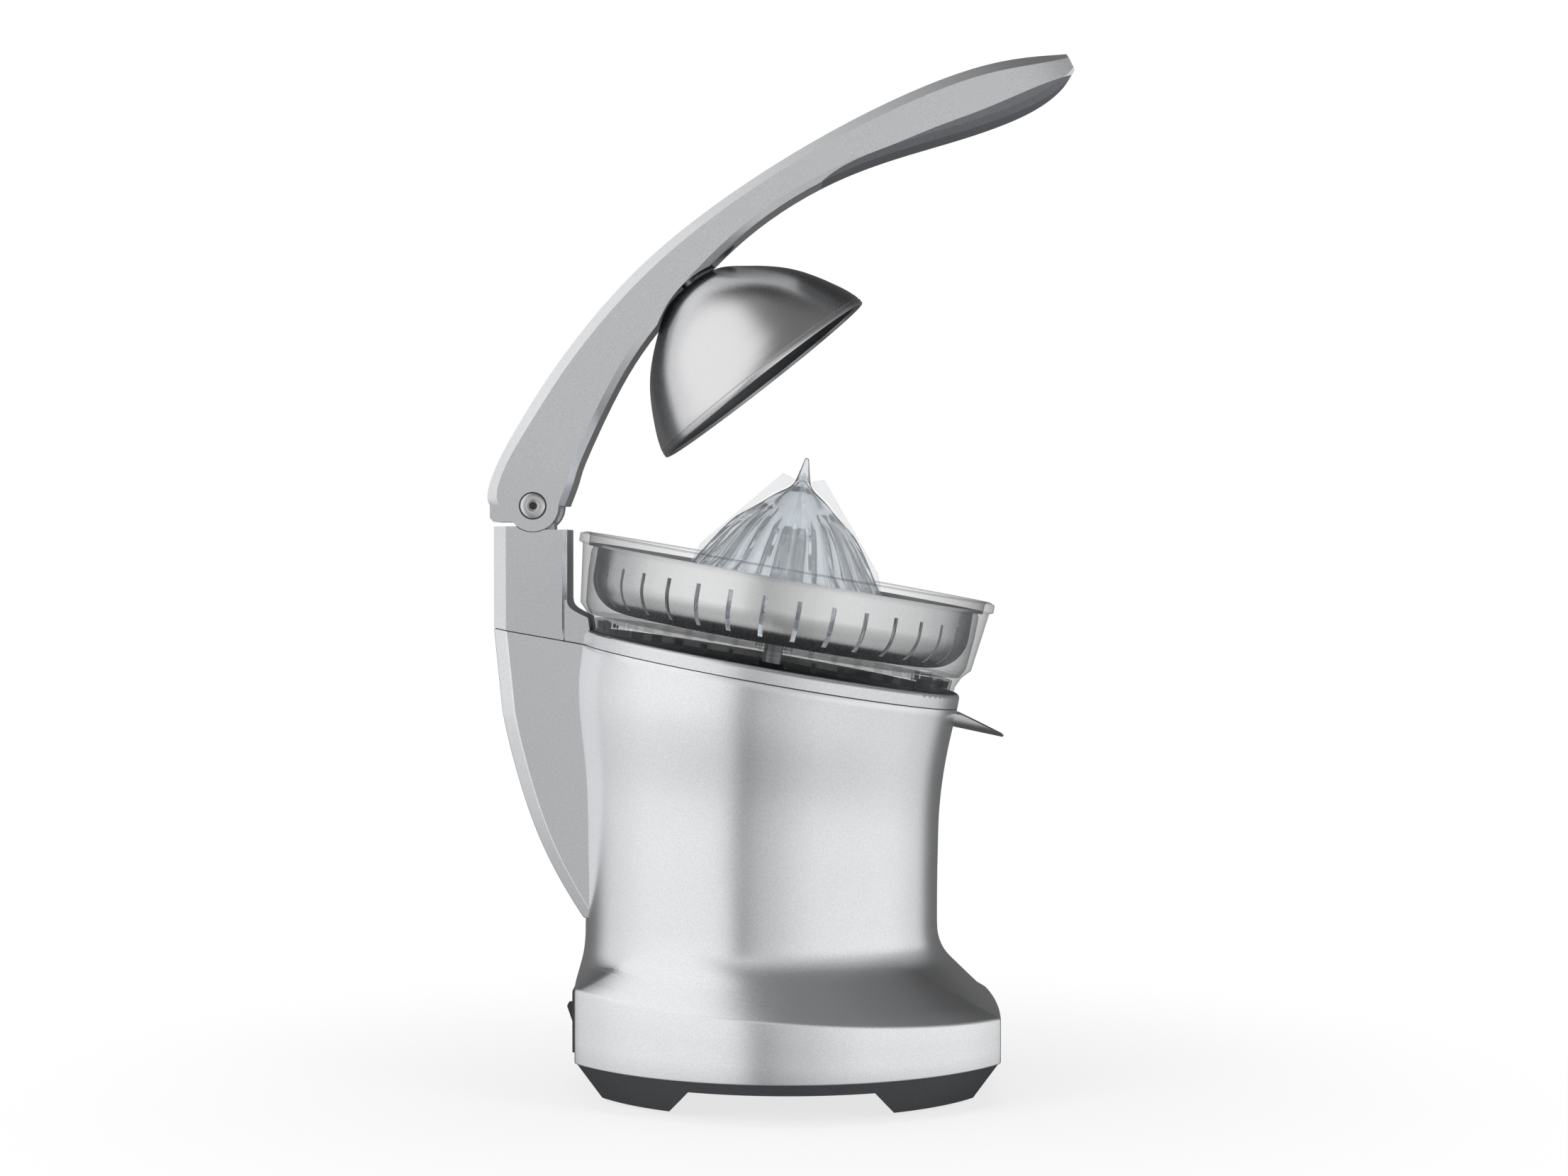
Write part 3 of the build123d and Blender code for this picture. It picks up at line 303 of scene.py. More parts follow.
def growRings(name, rings, closeLoop=False, capStart=False, capEnd=False):
    bpy.ops.object.select_all(action="DESELECT")
    bpy.ops.mesh.primitive_circle_add(vertices=len(rings[0]), radius=shapeValues["startRadius"])
    piece = bpy.context.object
    piece.name = name
    for vertex, point in zip(piece.data.vertices, rings[0]):
        vertex.co = point
    bpy.ops.object.mode_set(mode="EDIT")
    bpy.ops.mesh.select_all(action="SELECT")
    if capStart:
        bpy.ops.mesh.edge_face_add()
        bpy.ops.mesh.select_all(action="SELECT")
    previous = rings[0]
    for ring in rings[1:] + ([rings[0]] if closeLoop else []):
        if capStart and previous is rings[0]:
            bpy.ops.mesh.select_mode(type="EDGE")
        bpy.ops.mesh.extrude_edges_move()
        mesh = bmesh.from_edit_mesh(piece.data)
        where = {key(point): index for index, point in enumerate(previous)}
        for vertex in mesh.verts:
            if vertex.select:
                vertex.co = ring[where[key(vertex.co)]]
        bmesh.update_edit_mesh(piece.data)
        previous = ring
    bpy.ops.mesh.select_mode(type="VERT")
    if capEnd:
        bpy.ops.mesh.edge_face_add()
    bpy.ops.mesh.select_all(action="SELECT")
    bpy.ops.mesh.remove_doubles(threshold=shapeValues["weld"])
    bpy.ops.mesh.normals_make_consistent(inside=False)
    mesh = bmesh.from_edit_mesh(piece.data)
    middle = sum((vertex.co for vertex in mesh.verts), Vector()) / len(mesh.verts)
    outward = sum(
        face.calc_area() * face.normal.dot(face.calc_center_median() - middle) for face in mesh.faces
    )
    if outward < 0:
        bpy.ops.mesh.flip_normals()
    bpy.ops.object.mode_set(mode="OBJECT")
    return piece


def applyModifier(piece, kind, **values):
    onlySelect(piece)
    modifier = piece.modifiers.new("step", kind)
    for name, value in values.items():
        setattr(modifier, name, value)
    bpy.ops.object.modifier_apply(modifier=modifier.name)


def softenEdges(piece, width, angle=30, segments=2):
    applyModifier(
        piece, "BEVEL", width=width, segments=segments, limit_method="ANGLE",
        angle_limit=math.radians(angle),
    )


def smooth(piece, angle=32):
    onlySelect(piece)
    bpy.ops.object.shade_smooth_by_angle(angle=math.radians(angle))


def calmFlats(piece):
    # shading normals follow the large flat faces, so soft edges don't mark them
    applyModifier(piece, "WEIGHTED_NORMAL", keep_sharp=True, weight=shapeValues["flatWeight"])


def cutWith(piece, cutter):
    applyModifier(piece, "BOOLEAN", operation="DIFFERENCE", solver="FAST", object=cutter)
    bpy.data.objects.remove(cutter)


def settle(piece, body, slot, finish=None):
    piece.data.materials.clear()
    piece.data.materials.append(finishes[finish or slot])
    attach(piece, body)


def curveThrough(points, steps, startSlope=None, endSlope=None):
    # a smooth run through points of any number of values, paced by their distance in the first two
    spans = [max(1e-9, math.dist(a[:2], b[:2])) for a, b in zip(points, points[1:])]
    slopes = []
    for index in range(len(points)):
        if index == 0:
            slope = startSlope or [(b - a) / spans[0] for a, b in zip(points[0], points[1])]
        elif index == len(points) - 1:
            slope = endSlope or [(b - a) / spans[-1] for a, b in zip(points[-2], points[-1])]
        else:
            before, after = spans[index - 1], spans[index]
            slope = [
                ((b - a) / before * after + (c - b) / after * before) / (before + after)
                for a, b, c in zip(points[index - 1], points[index], points[index + 1])
            ]
        slopes.append(slope)
    total = sum(spans)
    run = []
    for index, span in enumerate(spans):
        count = max(2, round(steps * span / total))
        for step in range(count):
            f = step / count
            weights = (
                2 * f**3 - 3 * f**2 + 1, (f**3 - 2 * f**2 + f) * span,
                3 * f**2 - 2 * f**3, (f**3 - f**2) * span,
            )
            ends = (points[index], slopes[index], points[index + 1], slopes[index + 1])
            run.append([
                weights[0] * a + weights[1] * sa + weights[2] * b + weights[3] * sb
                for a, sa, b, sb in zip(*ends)
            ])
    run.append(list(points[-1]))
    return run


mm = 0.001
headLean = 10
headAcross = Vector((headAxis.z, 0, -headAxis.x))
ballHeight = 43.5
domeBase = ballCentre - domeAxis * (ballHeight * mm)


def headPoint(r, t, angle):
    # radius and height along the leaning axis, in millimetres, at an angle from the spout side
    return (
        headOrigin + headAxis * (t * mm)
        + (headAcross * math.cos(angle) + Vector((0, 1, 0)) * math.sin(angle)) * (r * mm)
    )


def domePoint(r, h, angle):
    # the same for the dome, up from the middle of its rim
    return (
        domeBase + domeAxis * (h * mm)
        + (domeAcross * math.cos(angle) + Vector((0, 1, 0)) * math.sin(angle)) * (r * mm)
    )


def around(pointAt, r, t, count):
    return [pointAt(r, t, 2 * math.pi * step / count) for step in range(count)]


# body shell: band, flare in four panels, round waist and leaning neck
shellValues = {
    "panel": 44, "waistX": -9.5, "waistZ": 60, "waistR": 74, "ridge": 45,
    "front": 90, "rear": -87, "side": 88, "corner": 41, "bulge": 1.5,
    "topRear": 47, "topFront": 35, "base": 16.4, "underInset": 2.2, "baseShares": (0.3, 0.6),
    "flareShares": (0.25, 0.5, 0.7), "waistRound": 9, "bandRound": 1.1, "baseRound": 0.9,
    "lowStem": (95, 74.2), "middleStem": (-9.4, 125, 75.2, 4), "neckDown": 62, "neckR": 79.6,
    "seamGap": 0.3, "partingT": -46, "collarR": 80.5, "lip": 0.35, "turnIn": 2.2, "stemSteps": 34,
    "ridgeAngle": 14, "ridgeSlope": 0.6, "ridgeTop": 0.062, "ridgeRound": 0.0009, "wall": 0.002,
    "crease": 28,
}


def arcThrough(start, middle, end, count):
    # points along the arc through three points, the end left out
    ax, ay, bx, by, cx, cy = *start, *middle, *end
    d = 2 * (ax * (by - cy) + bx * (cy - ay) + cx * (ay - by))
    aa, bb, cc = ax**2 + ay**2, bx**2 + by**2, cx**2 + cy**2
    ux = (aa * (by - cy) + bb * (cy - ay) + cc * (ay - by)) / d
    uy = (aa * (cx - bx) + bb * (ax - cx) + cc * (bx - ax)) / d
    radius = math.dist((ax, ay), (ux, uy))
    first = math.atan2(ay - uy, ax - ux)
    sweep = (math.atan2(cy - uy, cx - ux) - first) % (2 * math.pi)
    turns = [first + sweep * i / count for i in range(count)]
    return [(ux + radius * math.cos(turn), uy + radius * math.sin(turn)) for turn in turns]


def bandOutline(values, inset=0):
    front, rear = values["front"] - inset, values["rear"] + inset
    side, corner = values["side"] - inset, values["corner"] - inset / 2
    frontX, rearX = front - values["bulge"], rear + values["bulge"]
    middle = (front + rear) / 2
    count = values["panel"]
    return (
        arcThrough((frontX, -corner), (front, 0), (frontX, corner), count)
        + arcThrough((frontX, corner), (middle, side), (rearX, corner), count)
        + arcThrough((rearX, corner), (rear, 0), (rearX, -corner), count)
        + arcThrough((rearX, -corner), (middle, -side), (frontX, -corner), count)
    )


def bodyRings(values):
    count = values["panel"] * 4
    angles = [math.radians(-values["ridge"] + 360 * i / count) for i in range(count)]

    def leaningRing(x, z, r, tilt):
        c, s = math.cos(math.radians(tilt)), math.sin(math.radians(tilt))
        return [
            Vector((x + r * math.cos(a) * c, r * math.sin(a), z - r * math.cos(a) * s)) * mm
            for a in angles
        ]

    slope = (values["topFront"] - values["topRear"]) / (values["front"] - values["rear"])
    outline = bandOutline(values)
    bandTop = [Vector((x, y, values["topRear"] + (x - values["rear"]) * slope)) * mm for x, y in outline]
    waist = leaningRing(values["waistX"], values["waistZ"], values["waistR"], 0)
    lowStem = leaningRing(values["waistX"], *values["lowStem"], 0)

    def rounded(before, corner, after, reach, steps):
        # the rings of a soft edge at a corner ring
        longest = 0.45
        rings = []
        for step in range(steps + 1):
            f = step / steps
            ring = []
            for a, b, c in zip(before, corner, after):
                start = b + (a - b).normalized() * min(reach * mm, (a - b).length * longest)
                end = b + (c - b).normalized() * min(reach * mm, (c - b).length * longest)
                ring.append(start * (1 - f) ** 2 + b * 2 * f * (1 - f) + end * f**2)
            rings.append(ring)
        return rings

    base = [Vector((x, y, values["base"])) * mm for x, y in outline]
    under = [Vector((x, y, values["base"])) * mm for x, y in bandOutline(values, values["underInset"])]
    lean = math.radians(headLean)
    headX, headZ = headOrigin.x / mm, headOrigin.z / mm
    seam = values["partingT"] - values["seamGap"]
    stations = [
        (values["waistX"], values["waistZ"], values["waistR"], 0),
        (values["waistX"], *values["lowStem"], 0),
        values["middleStem"],
        (
            headX - math.sin(lean) * values["neckDown"], headZ - math.cos(lean) * values["neckDown"],
            values["neckR"], headLean,
        ),
        (headX + math.sin(lean) * seam, headZ + math.cos(lean) * seam, values["collarR"], headLean),
    ]
    stem = curveThrough(stations, values["stemSteps"], startSlope=[0, 1, 0, 0])
    stemFrom = values["waistZ"] + values["waistRound"] + 1
    stemRings = [leaningRing(*station) for station in stem if station[1] > stemFrom]
    rings = [under]
    rings += rounded(under, base, bandTop, values["baseRound"], 3)
    for share in values["baseShares"]:
        rings.append([a.lerp(b, share) for a, b in zip(base, bandTop)])
    rings += rounded(base, bandTop, waist, values["bandRound"], 3)
    for share in values["flareShares"]:
        rings.append([a.lerp(b, share) for a, b in zip(bandTop, waist)])
    rings += rounded(bandTop, waist, lowStem, values["waistRound"], 7)
    rings += stemRings[:-1]
    lip = values["lip"]
    x, z, r = stem[-1][:3]
    down = (math.sin(lean) * lip, math.cos(lean) * lip)
    rings.append(leaningRing(x - down[0], z - down[1], r, headLean))
    rings.append(leaningRing(x - down[0] * 0.3, z - down[1] * 0.3, r - lip * 0.3, headLean))
    rings.append(leaningRing(x, z, r - lip, headLean))
    rings.append(leaningRing(x, z, r - values["turnIn"], headLean))
    return rings


bodyShell = growRings("bodyShell", bodyRings(shellValues))
# the four ridges of the flare are softened, the rest is already round
onlySelect(bodyShell)
bpy.ops.object.mode_set(mode="EDIT")
bpy.ops.mesh.select_all(action="DESELECT")
mesh = bmesh.from_edit_mesh(bodyShell.data)
for edge in mesh.edges:
    if len(edge.link_faces) == 2 and edge.calc_face_angle(0) > math.radians(shellValues["ridgeAngle"]):
        low, high = sorted(edge.verts, key=lambda vertex: vertex.co.z)
        steep = high.co.z - low.co.z > shellValues["ridgeSlope"] * edge.calc_length()
        if steep and high.co.z < shellValues["ridgeTop"]:
            edge.select_set(True)
bmesh.update_edit_mesh(bodyShell.data)
bpy.ops.mesh.bevel(offset=shellValues["ridgeRound"], segments=3, affect="EDGES", clamp_overlap=True)
bpy.ops.object.mode_set(mode="OBJECT")
applyModifier(bodyShell, "SOLIDIFY", thickness=shellValues["wall"], offset=-1)

# openings for the spout, and in the rear for the switch and the cord gland
openings = {
    "spout": {"half": 13.1, "deep": 6.1, "start": (57, 160.9), "drop": 12, "reach": (-4, 46)},
    "rear": (-94, -76),
    "switch": {"z": 28.5, "wide": 17.2, "high": 21.2},
    "gland": {"y": 26, "z": 27, "r": 6},
}
spoutCut = openings["spout"]
drop = math.radians(spoutCut["drop"])
spoutOut = Vector((math.cos(drop), 0, -math.sin(drop)))
spoutUp = Vector((math.sin(drop), 0, math.cos(drop)))
spoutStart = Vector((spoutCut["start"][0], 0, spoutCut["start"][1])) * mm


def gutterSection(half, deep, count=24):
    # flat top and a shallow arc below, as across and up values
    radius = (half**2 + deep**2) / (2 * deep)
    sweep = math.asin(half / radius)
    turns = [-sweep + 2 * sweep * i / count for i in range(count + 1)]
    return [(radius * math.sin(turn), radius - deep - radius * math.cos(turn)) for turn in turns]


def gutterRing(half, deep, along):
    return [
        spoutStart + spoutOut * along * mm + Vector((0, y, 0)) * mm + spoutUp * z * mm
        for y, z in gutterSection(half, deep)
    ]


cutWith(bodyShell, growRings("spoutCutter", [
    gutterRing(spoutCut["half"], spoutCut["deep"], along) for along in spoutCut["reach"]
], capStart=True, capEnd=True))
switchCut = openings["switch"]
corners = [
    (sideY * switchCut["wide"] / 2, switchCut["z"] + sideZ * switchCut["high"] / 2)
    for sideY, sideZ in ((-1, -1), (1, -1), (1, 1), (-1, 1))
]
cutWith(bodyShell, growRings("switchCutter", [
    [Vector((x, y, z)) * mm for y, z in corners] for x in openings["rear"]
], capStart=True, capEnd=True))
glandCut = openings["gland"]
circle = [
    (glandCut["y"] + glandCut["r"] * math.cos(a), glandCut["z"] + glandCut["r"] * math.sin(a))
    for a in [math.pi * i / 16 for i in range(32)]
]
cutWith(bodyShell, growRings("glandCutter", [
    [Vector((x, y, z)) * mm for y, z in circle] for x in openings["rear"]
], capStart=True, capEnd=True))
smooth(bodyShell, shellValues["crease"])
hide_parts("housing")
settle(bodyShell, "base", "satin_metal")
print("body shell:", len(bodyShell.data.polygons), "faces")

# spine behind the body, with its chamfered back
spineValues = {
    "half": 19.5, "chamfer": 5.5, "front": -60, "edge": 0.5, "crease": 25, "steps": 30, "topDepth": 13,
    "back": [(-120.8, 198.9), (-118.8, 168), (-112, 136), (-100.6, 103), (-83.6, 72.7)],
    "topSlope": [0, -1], "lowSlope": [0.55, -0.83],
}


def leaningHeight(x, t):
    # height at x of the plane across the leaning axis at t
    planeX = headOrigin.x / mm + headAxis.x * t
    planeZ = headOrigin.z / mm + headAxis.z * t
    return planeZ + (planeX - x) * math.tan(math.radians(headLean))


def spineRings(values):
    seam = shellValues["partingT"] - shellValues["seamGap"]
    seamZ = headOrigin.z / mm + headAxis.z * seam
    back = curveThrough(
        values["back"], values["steps"], startSlope=values["topSlope"], endSlope=values["lowSlope"]
    )
    half, chamfer, front = values["half"], values["chamfer"], values["front"]
    inner = half - chamfer

    def ring(x, z=None):
        section = [
            (x, -inner), (x, inner), (x + chamfer, half),
            (front, half), (front, -half), (x + chamfer, -half),
        ]
        return [Vector((px, py, leaningHeight(px, seam) if z is None else z)) * mm for px, py in section]

    rings = [ring(values["back"][0][0])]
    rings += [ring(x, z) for x, z in back if z < seamZ - values["topDepth"]]
    return rings


spineShell = growRings("spineShell", spineRings(spineValues), capStart=True, capEnd=True)
softenEdges(spineShell, spineValues["edge"] * mm, spineValues["crease"], 3)
smooth(spineShell, spineValues["crease"])
calmFlats(spineShell)
settle(spineShell, "base", "satin_metal")

# dark line where the collar sits on the body and spine
seamValues = {
    "inset": 0.55, "half": 0.7, "depth": 1.6, "columns": 160,
    "chamfer": 5.3, "front": -82, "edge": 0.0001,
}
seamInset, seamHalf, seamDepth = seamValues["inset"], seamValues["half"], seamValues["depth"]
seamBand = growRings("seamBand", [
    around(headPoint, shellValues["collarR"] - inset, shellValues["partingT"] + t, seamValues["columns"])
    for inset, t in (
        (seamInset, -seamHalf), (seamInset, seamHalf), (seamDepth, seamHalf), (seamDepth, -seamHalf),
    )
], closeLoop=True)
smooth(seamBand)
settle(seamBand, "base", "dark_plastic", "seamShade")
inner = spineValues["half"] - spineValues["chamfer"]
outer = spineValues["half"] - seamInset
rearX = spineValues["back"][0][0] + seamInset
chamferX, frontX = rearX + seamValues["chamfer"], seamValues["front"]
spineSection = [
    (rearX, -inner), (rearX, inner), (chamferX, outer),
    (frontX, outer), (frontX, -outer), (chamferX, -outer),
]
spineSeam = growRings("spineSeam", [
    [Vector((x, y, leaningHeight(x, shellValues["partingT"]) + rise)) * mm for x, y in spineSection]
    for rise in (-seamHalf, seamHalf)
], capStart=True, capEnd=True)
softenEdges(spineSeam, seamValues["edge"])
settle(spineSeam, "base", "dark_plastic", "seamShade")
print("spine and seams done")

# dome: pressed steel with a rolled rim band, as radius and height up from its rim
domeValues = {
    "columns": 160, "steps": 40, "crease": 34,
    "top": 51, "mouth": 5.2, "mouthTop": 50.6, "mouthRound": 0.6, "wall": 1.2,
    "outside": [(13.4, 49.3), (25, 41.6), (38, 29.6), (47.3, 15), (51.4, 6)],
    "topSlope": [1, 0], "rimSlope": [0.12, -0.99],
    "bandTop": 3.0, "bandR": 52.3, "groove": 0.28,
    "band": [(52.5, 0.5), (52.38, 0.15), (52.1, 0.0), (51.6, 0.0), (51.32, 0.2)],
}


def domeProfile(values):
    top, mouth, bandTop, bandR = values["top"], values["mouth"], values["bandTop"], values["bandR"]
    run = curveThrough(
        [(0, top)] + values["outside"] + [(bandR, bandTop)], values["steps"],
        startSlope=values["topSlope"], endSlope=values["rimSlope"],
    )
    outside = [(r, h) for r, h in run if r > mouth + values["mouthRound"]]
    wall = values["wall"]
    rim = [
        (bandR - values["groove"], bandTop - 0.15), (bandR + 0.04 - values["groove"], bandTop - 0.4),
        (bandR + 0.12, bandTop - 0.6), (bandR + 0.2, bandTop - 0.9),
    ]
    inside = [
        (r - wall * 0.85 * min(1, r / 30), h - wall * max(0.15, (h / top) ** 0.5))
        for r, h in reversed(outside)
    ]
    return (
        [(mouth, values["mouthTop"])] + outside + rim + values["band"] + inside
        + [(mouth, values["mouthTop"] - wall)]
    )


domeShell = growRings("domeShell", [
    around(domePoint, r, h, domeValues["columns"]) for r, h in domeProfile(domeValues)
], closeLoop=True)
smooth(domeShell, domeValues["crease"])
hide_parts("dome")
settle(domeShell, "dome", "polished_steel")
print("dome done")

# cone: fluted clear shell, a drive post inside and four reaming blades, as radius and height on its axis
coneValues = {
    "columns": 192, "outsideSteps": 60, "insideSteps": 30, "crease": 40,
    "ribs": 24, "ribHigh": 0.95, "ribFrom": 25, "ribTo": -25, "ribFadeIn": 8, "ribFadeOut": 5,
    "ribWide": 2.0, "ribShape": 0.8, "ribTilt": 0.5,
    "tip": [(0.02, 46.5), (0.55, 46.4)],
    "outside": [
        (0.9, 46.0), (1.6, 43), (2.7, 38.5), (3.6, 35.4), (5.4, 33.2), (8.4, 31.1), (11.5, 28.8),
        (20, 21), (24.2, 17), (34.5, 2.6), (40.2, -7), (43.6, -17), (45.5, -27.8),
    ],
    "foot": (45.2, -28.4),
    "inside": [
        (43.5, -28.4), (41.4, -16.4), (38, -6), (32.4, 1.9), (22.4, 15.2), (18.4, 19), (9.3, 26.0),
        (4.2, 31.2), (1.7, 36.0),
    ],
    "ceiling": (0.02, 37.0),
    "post": [(5.4, -13), (9.2, -13), (9.3, -12.4), (9.3, 15.8), (8.8, 16.4), (5.4, 16.4)],
    "postColumns": 48,
    "blades": 4, "bladeThick": 1.7, "bladeEdge": 0.0003, "bladeCrease": 30,
    "blade": [
        (3.4, 36.8), (8.8, 38.6), (38, 3.5), (46.3, -21), (44.4, -17), (41.0, -7), (35.3, 2.9),
        (25.0, 17.3), (20.6, 21.5), (12.0, 29.4), (8.8, 31.6), (5.8, 33.7), (4.2, 35.2),
    ],
}


def coneRings(values):
    columns = values["columns"]
    step = columns // values["ribs"]
    rings = [around(headPoint, r, t, columns) for r, t in values["tip"]]
    for r, t in curveThrough(values["outside"], values["outsideSteps"]):
        fadeIn = (values["ribFrom"] - t) / values["ribFadeIn"]
        fadeOut = (t - values["ribTo"]) / values["ribFadeOut"]
        reach = max(0, min(1, fadeIn, fadeOut))
        ring = []
        for column in range(columns):
            away = min(column % step, step - column % step)
            crest = max(0, 1 - away / values["ribWide"]) ** values["ribShape"]
            lift = values["ribHigh"] * reach * crest
            angle = 2 * math.pi * column / columns
            ring.append(headPoint(r + lift, t + lift * values["ribTilt"], angle))
        rings.append(ring)
    inner = curveThrough(values["inside"], values["insideSteps"])
    for r, t in [values["foot"], *inner, values["ceiling"]]:
        rings.append(around(headPoint, r, t, columns))
    return rings


coneShell = growRings("coneShell", coneRings(coneValues))
smooth(coneShell, coneValues["crease"])
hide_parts("cone")
settle(coneShell, "cone", "blue_clear")
conePost = growRings("conePost", [
    around(headPoint, r, t, coneValues["postColumns"]) for r, t in coneValues["post"]
], closeLoop=True)
smooth(conePost, coneValues["crease"])
settle(conePost, "cone", "blue_clear")

for number in range(coneValues["blades"]):
    angle = 2 * math.pi * number / coneValues["blades"]
    across = -headAcross * math.sin(angle) + Vector((0, 1, 0)) * math.cos(angle)
    half = coneValues["bladeThick"] * mm / 2
    blade = growRings("coneBlade%d" % (number + 1), [
        [headPoint(r, t, angle) + across * side * half for r, t in coneValues["blade"]]
        for side in (-1, 1)
    ], capStart=True, capEnd=True)
    softenEdges(blade, coneValues["bladeEdge"], coneValues["bladeCrease"])
    smooth(blade, coneValues["bladeCrease"])
    settle(blade, "cone", "blue_clear", "bladeClear")
print("cone done")

# pivot on each side of the arm: a ring groove, a domed cap and its key socket,
# as radius and height off the arm's face
pivotValues = {
    "face": 19.52, "columns": 72, "crease": 40,
    "groove": [(5.15, -0.5), (5.75, -0.5), (5.75, 0.02), (5.15, 0.02)],
    "cap": [
        (5.12, -0.4), (5.1, 0.1), (4.7, 0.35), (2.5, 0.45), (2.2, 0.35), (2.0, -0.3), (1.9, -0.9),
        (0.02, -0.9),
    ],
    "socket": [(1.85, -0.86), (1.8, -0.5), (1.35, -0.5), (0.3, -0.8)],
}


def pivotRings(profile, side, columns, turn=0):
    face = pivotValues["face"]
    turns = [2 * math.pi * (i + turn) / columns for i in range(columns)]
    return [
        [
            hingePoint + Vector((r * math.cos(a), side * (face + out), r * math.sin(a))) * mm
            for a in turns
        ]
        for r, out in profile
    ]


for side, label in ((-1, "Near"), (1, "Far")):
    columns = pivotValues["columns"]
    groove = growRings(
        "pivotGroove" + label, pivotRings(pivotValues["groove"], side, columns), closeLoop=True
    )
    smooth(groove)
    settle(groove, "arm", "dark_plastic", "seamShade")
    cap = growRings("pivotCap" + label, pivotRings(pivotValues["cap"], side, columns))
    smooth(cap, pivotValues["crease"])
    settle(cap, "arm", "zinc", "capSteel")
    socketDisc = growRings(
        "pivotSocket" + label, pivotRings(pivotValues["socket"], side, 6, 0.5), capEnd=True
    )
    smooth(socketDisc)
    settle(socketDisc, "arm", "dark_plastic", "seamShade")
print("pivot done")


# CAD nodes dressed: welded copies with smooth shading and softened edges
def dressNode(node, soften, crease=32):
    source = frame["nodes"][node]
    piece = source.copy()
    piece.data = source.data.copy()
    piece.name = node + "Skin"
    piece.parent = None
    for own in list(piece.keys()):
        del piece[own]
    bpy.context.scene.collection.objects.link(piece)
    onlySelect(piece)
    bpy.ops.mesh.customdata_custom_splitnormals_clear()
    bpy.ops.object.mode_set(mode="EDIT")
    bpy.ops.mesh.select_all(action="SELECT")
    bpy.ops.mesh.remove_doubles(threshold=shapeValues["skinWeld"])
    bpy.ops.mesh.dissolve_limited(angle_limit=math.radians(shapeValues["flatten"]))
    bpy.ops.object.mode_set(mode="OBJECT")
    softenEdges(piece, soften, crease)
    smooth(piece, crease)
    calmFlats(piece)
    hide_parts(node)
    settle(piece, nodeBody[node], nodeSlot[node])
    return piece


# the width of each skin's softened edges, in metres
skinEdges = {
    "collar": 0.0004, "arm": 0.0004, "grip": 0.0002, "bowl": 0.0002, "basket": 0.0002, "spout": 0.0002,
    "base_pan": 0.0002, "dome_yoke": 0.0002,
}
dressed = {node: dressNode(node, width) for node, width in skinEdges.items()}

# painted shade: faces of the collar under the bowl, and of the basket's inside, get a darker colour for the shade
# that falls there
shadeMaskValues = {"inward": -0.3, "recessR": 79.5, "upward": 0.3, "recessTop": -20}


def paintShadeOn(piece, finish, chosen):
    # chosen is asked about each face's distance out and height along the leaning axis, and how far it
    # faces outward and upward
    piece.data.materials.append(finishes[finish])
    centre = headPoint(0, 0, 0)
    for face in piece.data.polygons:
        arm = face.center - centre
        along = arm.dot(headAxis)
        outward = arm - headAxis * along
        faceOut, faceUp = face.normal.dot(outward.normalized()), face.normal.dot(headAxis)
        if chosen(outward.length / mm, along / mm, faceOut, faceUp):
            face.material_index = len(piece.data.materials) - 1


def facesInward(out, along, faceOut, faceUp):
    return faceOut < shadeMaskValues["inward"]


def inRecess(out, along, faceOut, faceUp):
    low = along < shadeMaskValues["recessTop"]
    return out < shadeMaskValues["recessR"] and faceUp > shadeMaskValues["upward"] and low


paintShadeOn(dressed["basket"], "steelPaintedShade", facesInward)
paintShadeOn(dressed["collar"], "recessPaintedShade", inRecess)

# the dark saddle between arm and dome ends as far forward as the arm covers it
yokeValues = {"frontEnd": 13.5, "height": 51, "slope": 0.35}
onlySelect(dressed["dome_yoke"])
bpy.ops.object.mode_set(mode="EDIT")
bpy.ops.mesh.select_all(action="SELECT")
bpy.ops.mesh.bisect(
    plane_co=domeBase + domeAcross * yokeValues["frontEnd"] * mm + domeAxis * yokeValues["height"] * mm,
    plane_no=domeAcross + domeAxis * yokeValues["slope"], use_fill=True, clear_outer=True,
)
bpy.ops.object.mode_set(mode="OBJECT")
for node, slot in nodeSlot.items():
    part = frame["nodes"][node]
    part.data.materials.clear()
    part.data.materials.append(finishes[slot])
print("nodes dressed")

# stage: round pale floor that fades out, a studio world with soft bands, three lamps
stageValues = {
    "radius": 0.85, "corners": 96, "floorColour": (0.84, 0.84, 0.84), "rough": 0.6,
    "fadeFrom": 0.10, "fadeTo": 0.36, "shadow": 0.24,
}
bpy.ops.object.select_all(action="DESELECT")
bpy.ops.mesh.primitive_circle_add(
    vertices=stageValues["corners"], radius=stageValues["radius"], fill_type="NGON", location=(0, 0, 0)
)
floorDisc = bpy.context.object
floorDisc.name = "floorDisc"
floorMaterial = newMaterial("floorPaint", Roughness=stageValues["rough"])
shaderOf(floorMaterial).inputs["Base Color"].default_value = (*stageValues["floorColour"], 1)
middleAway = addNode(floorMaterial, "ShaderNodeVectorMath", operation="LENGTH")
floorPlace = addNode(floorMaterial, "ShaderNodeTexCoord")
join(floorMaterial, floorPlace.outputs["Object"], middleAway.inputs[0])
fade = addNode(floorMaterial, "ShaderNodeMapRange", interpolation_type="SMOOTHSTEP")
fade.inputs["From Min"].default_value = stageValues["fadeFrom"]
fade.inputs["From Max"].default_value = stageValues["fadeTo"]
fade.inputs["To Min"].default_value = 1 - stageValues["shadow"]
join(floorMaterial, middleAway.outputs["Value"], fade.inputs["Value"])
lightPath = addNode(floorMaterial, "ShaderNodeLightPath")
glow = addNode(floorMaterial, "ShaderNodeEmission")
glow.inputs["Color"].default_value = (1, 1, 1, 1)
mixer = addNode(floorMaterial, "ShaderNodeMixShader")
share = addNode(floorMaterial, "ShaderNodeMath", operation="MULTIPLY")
join(floorMaterial, lightPath.outputs["Is Camera Ray"], share.inputs[0])
join(floorMaterial, fade.outputs["Result"], share.inputs[1])
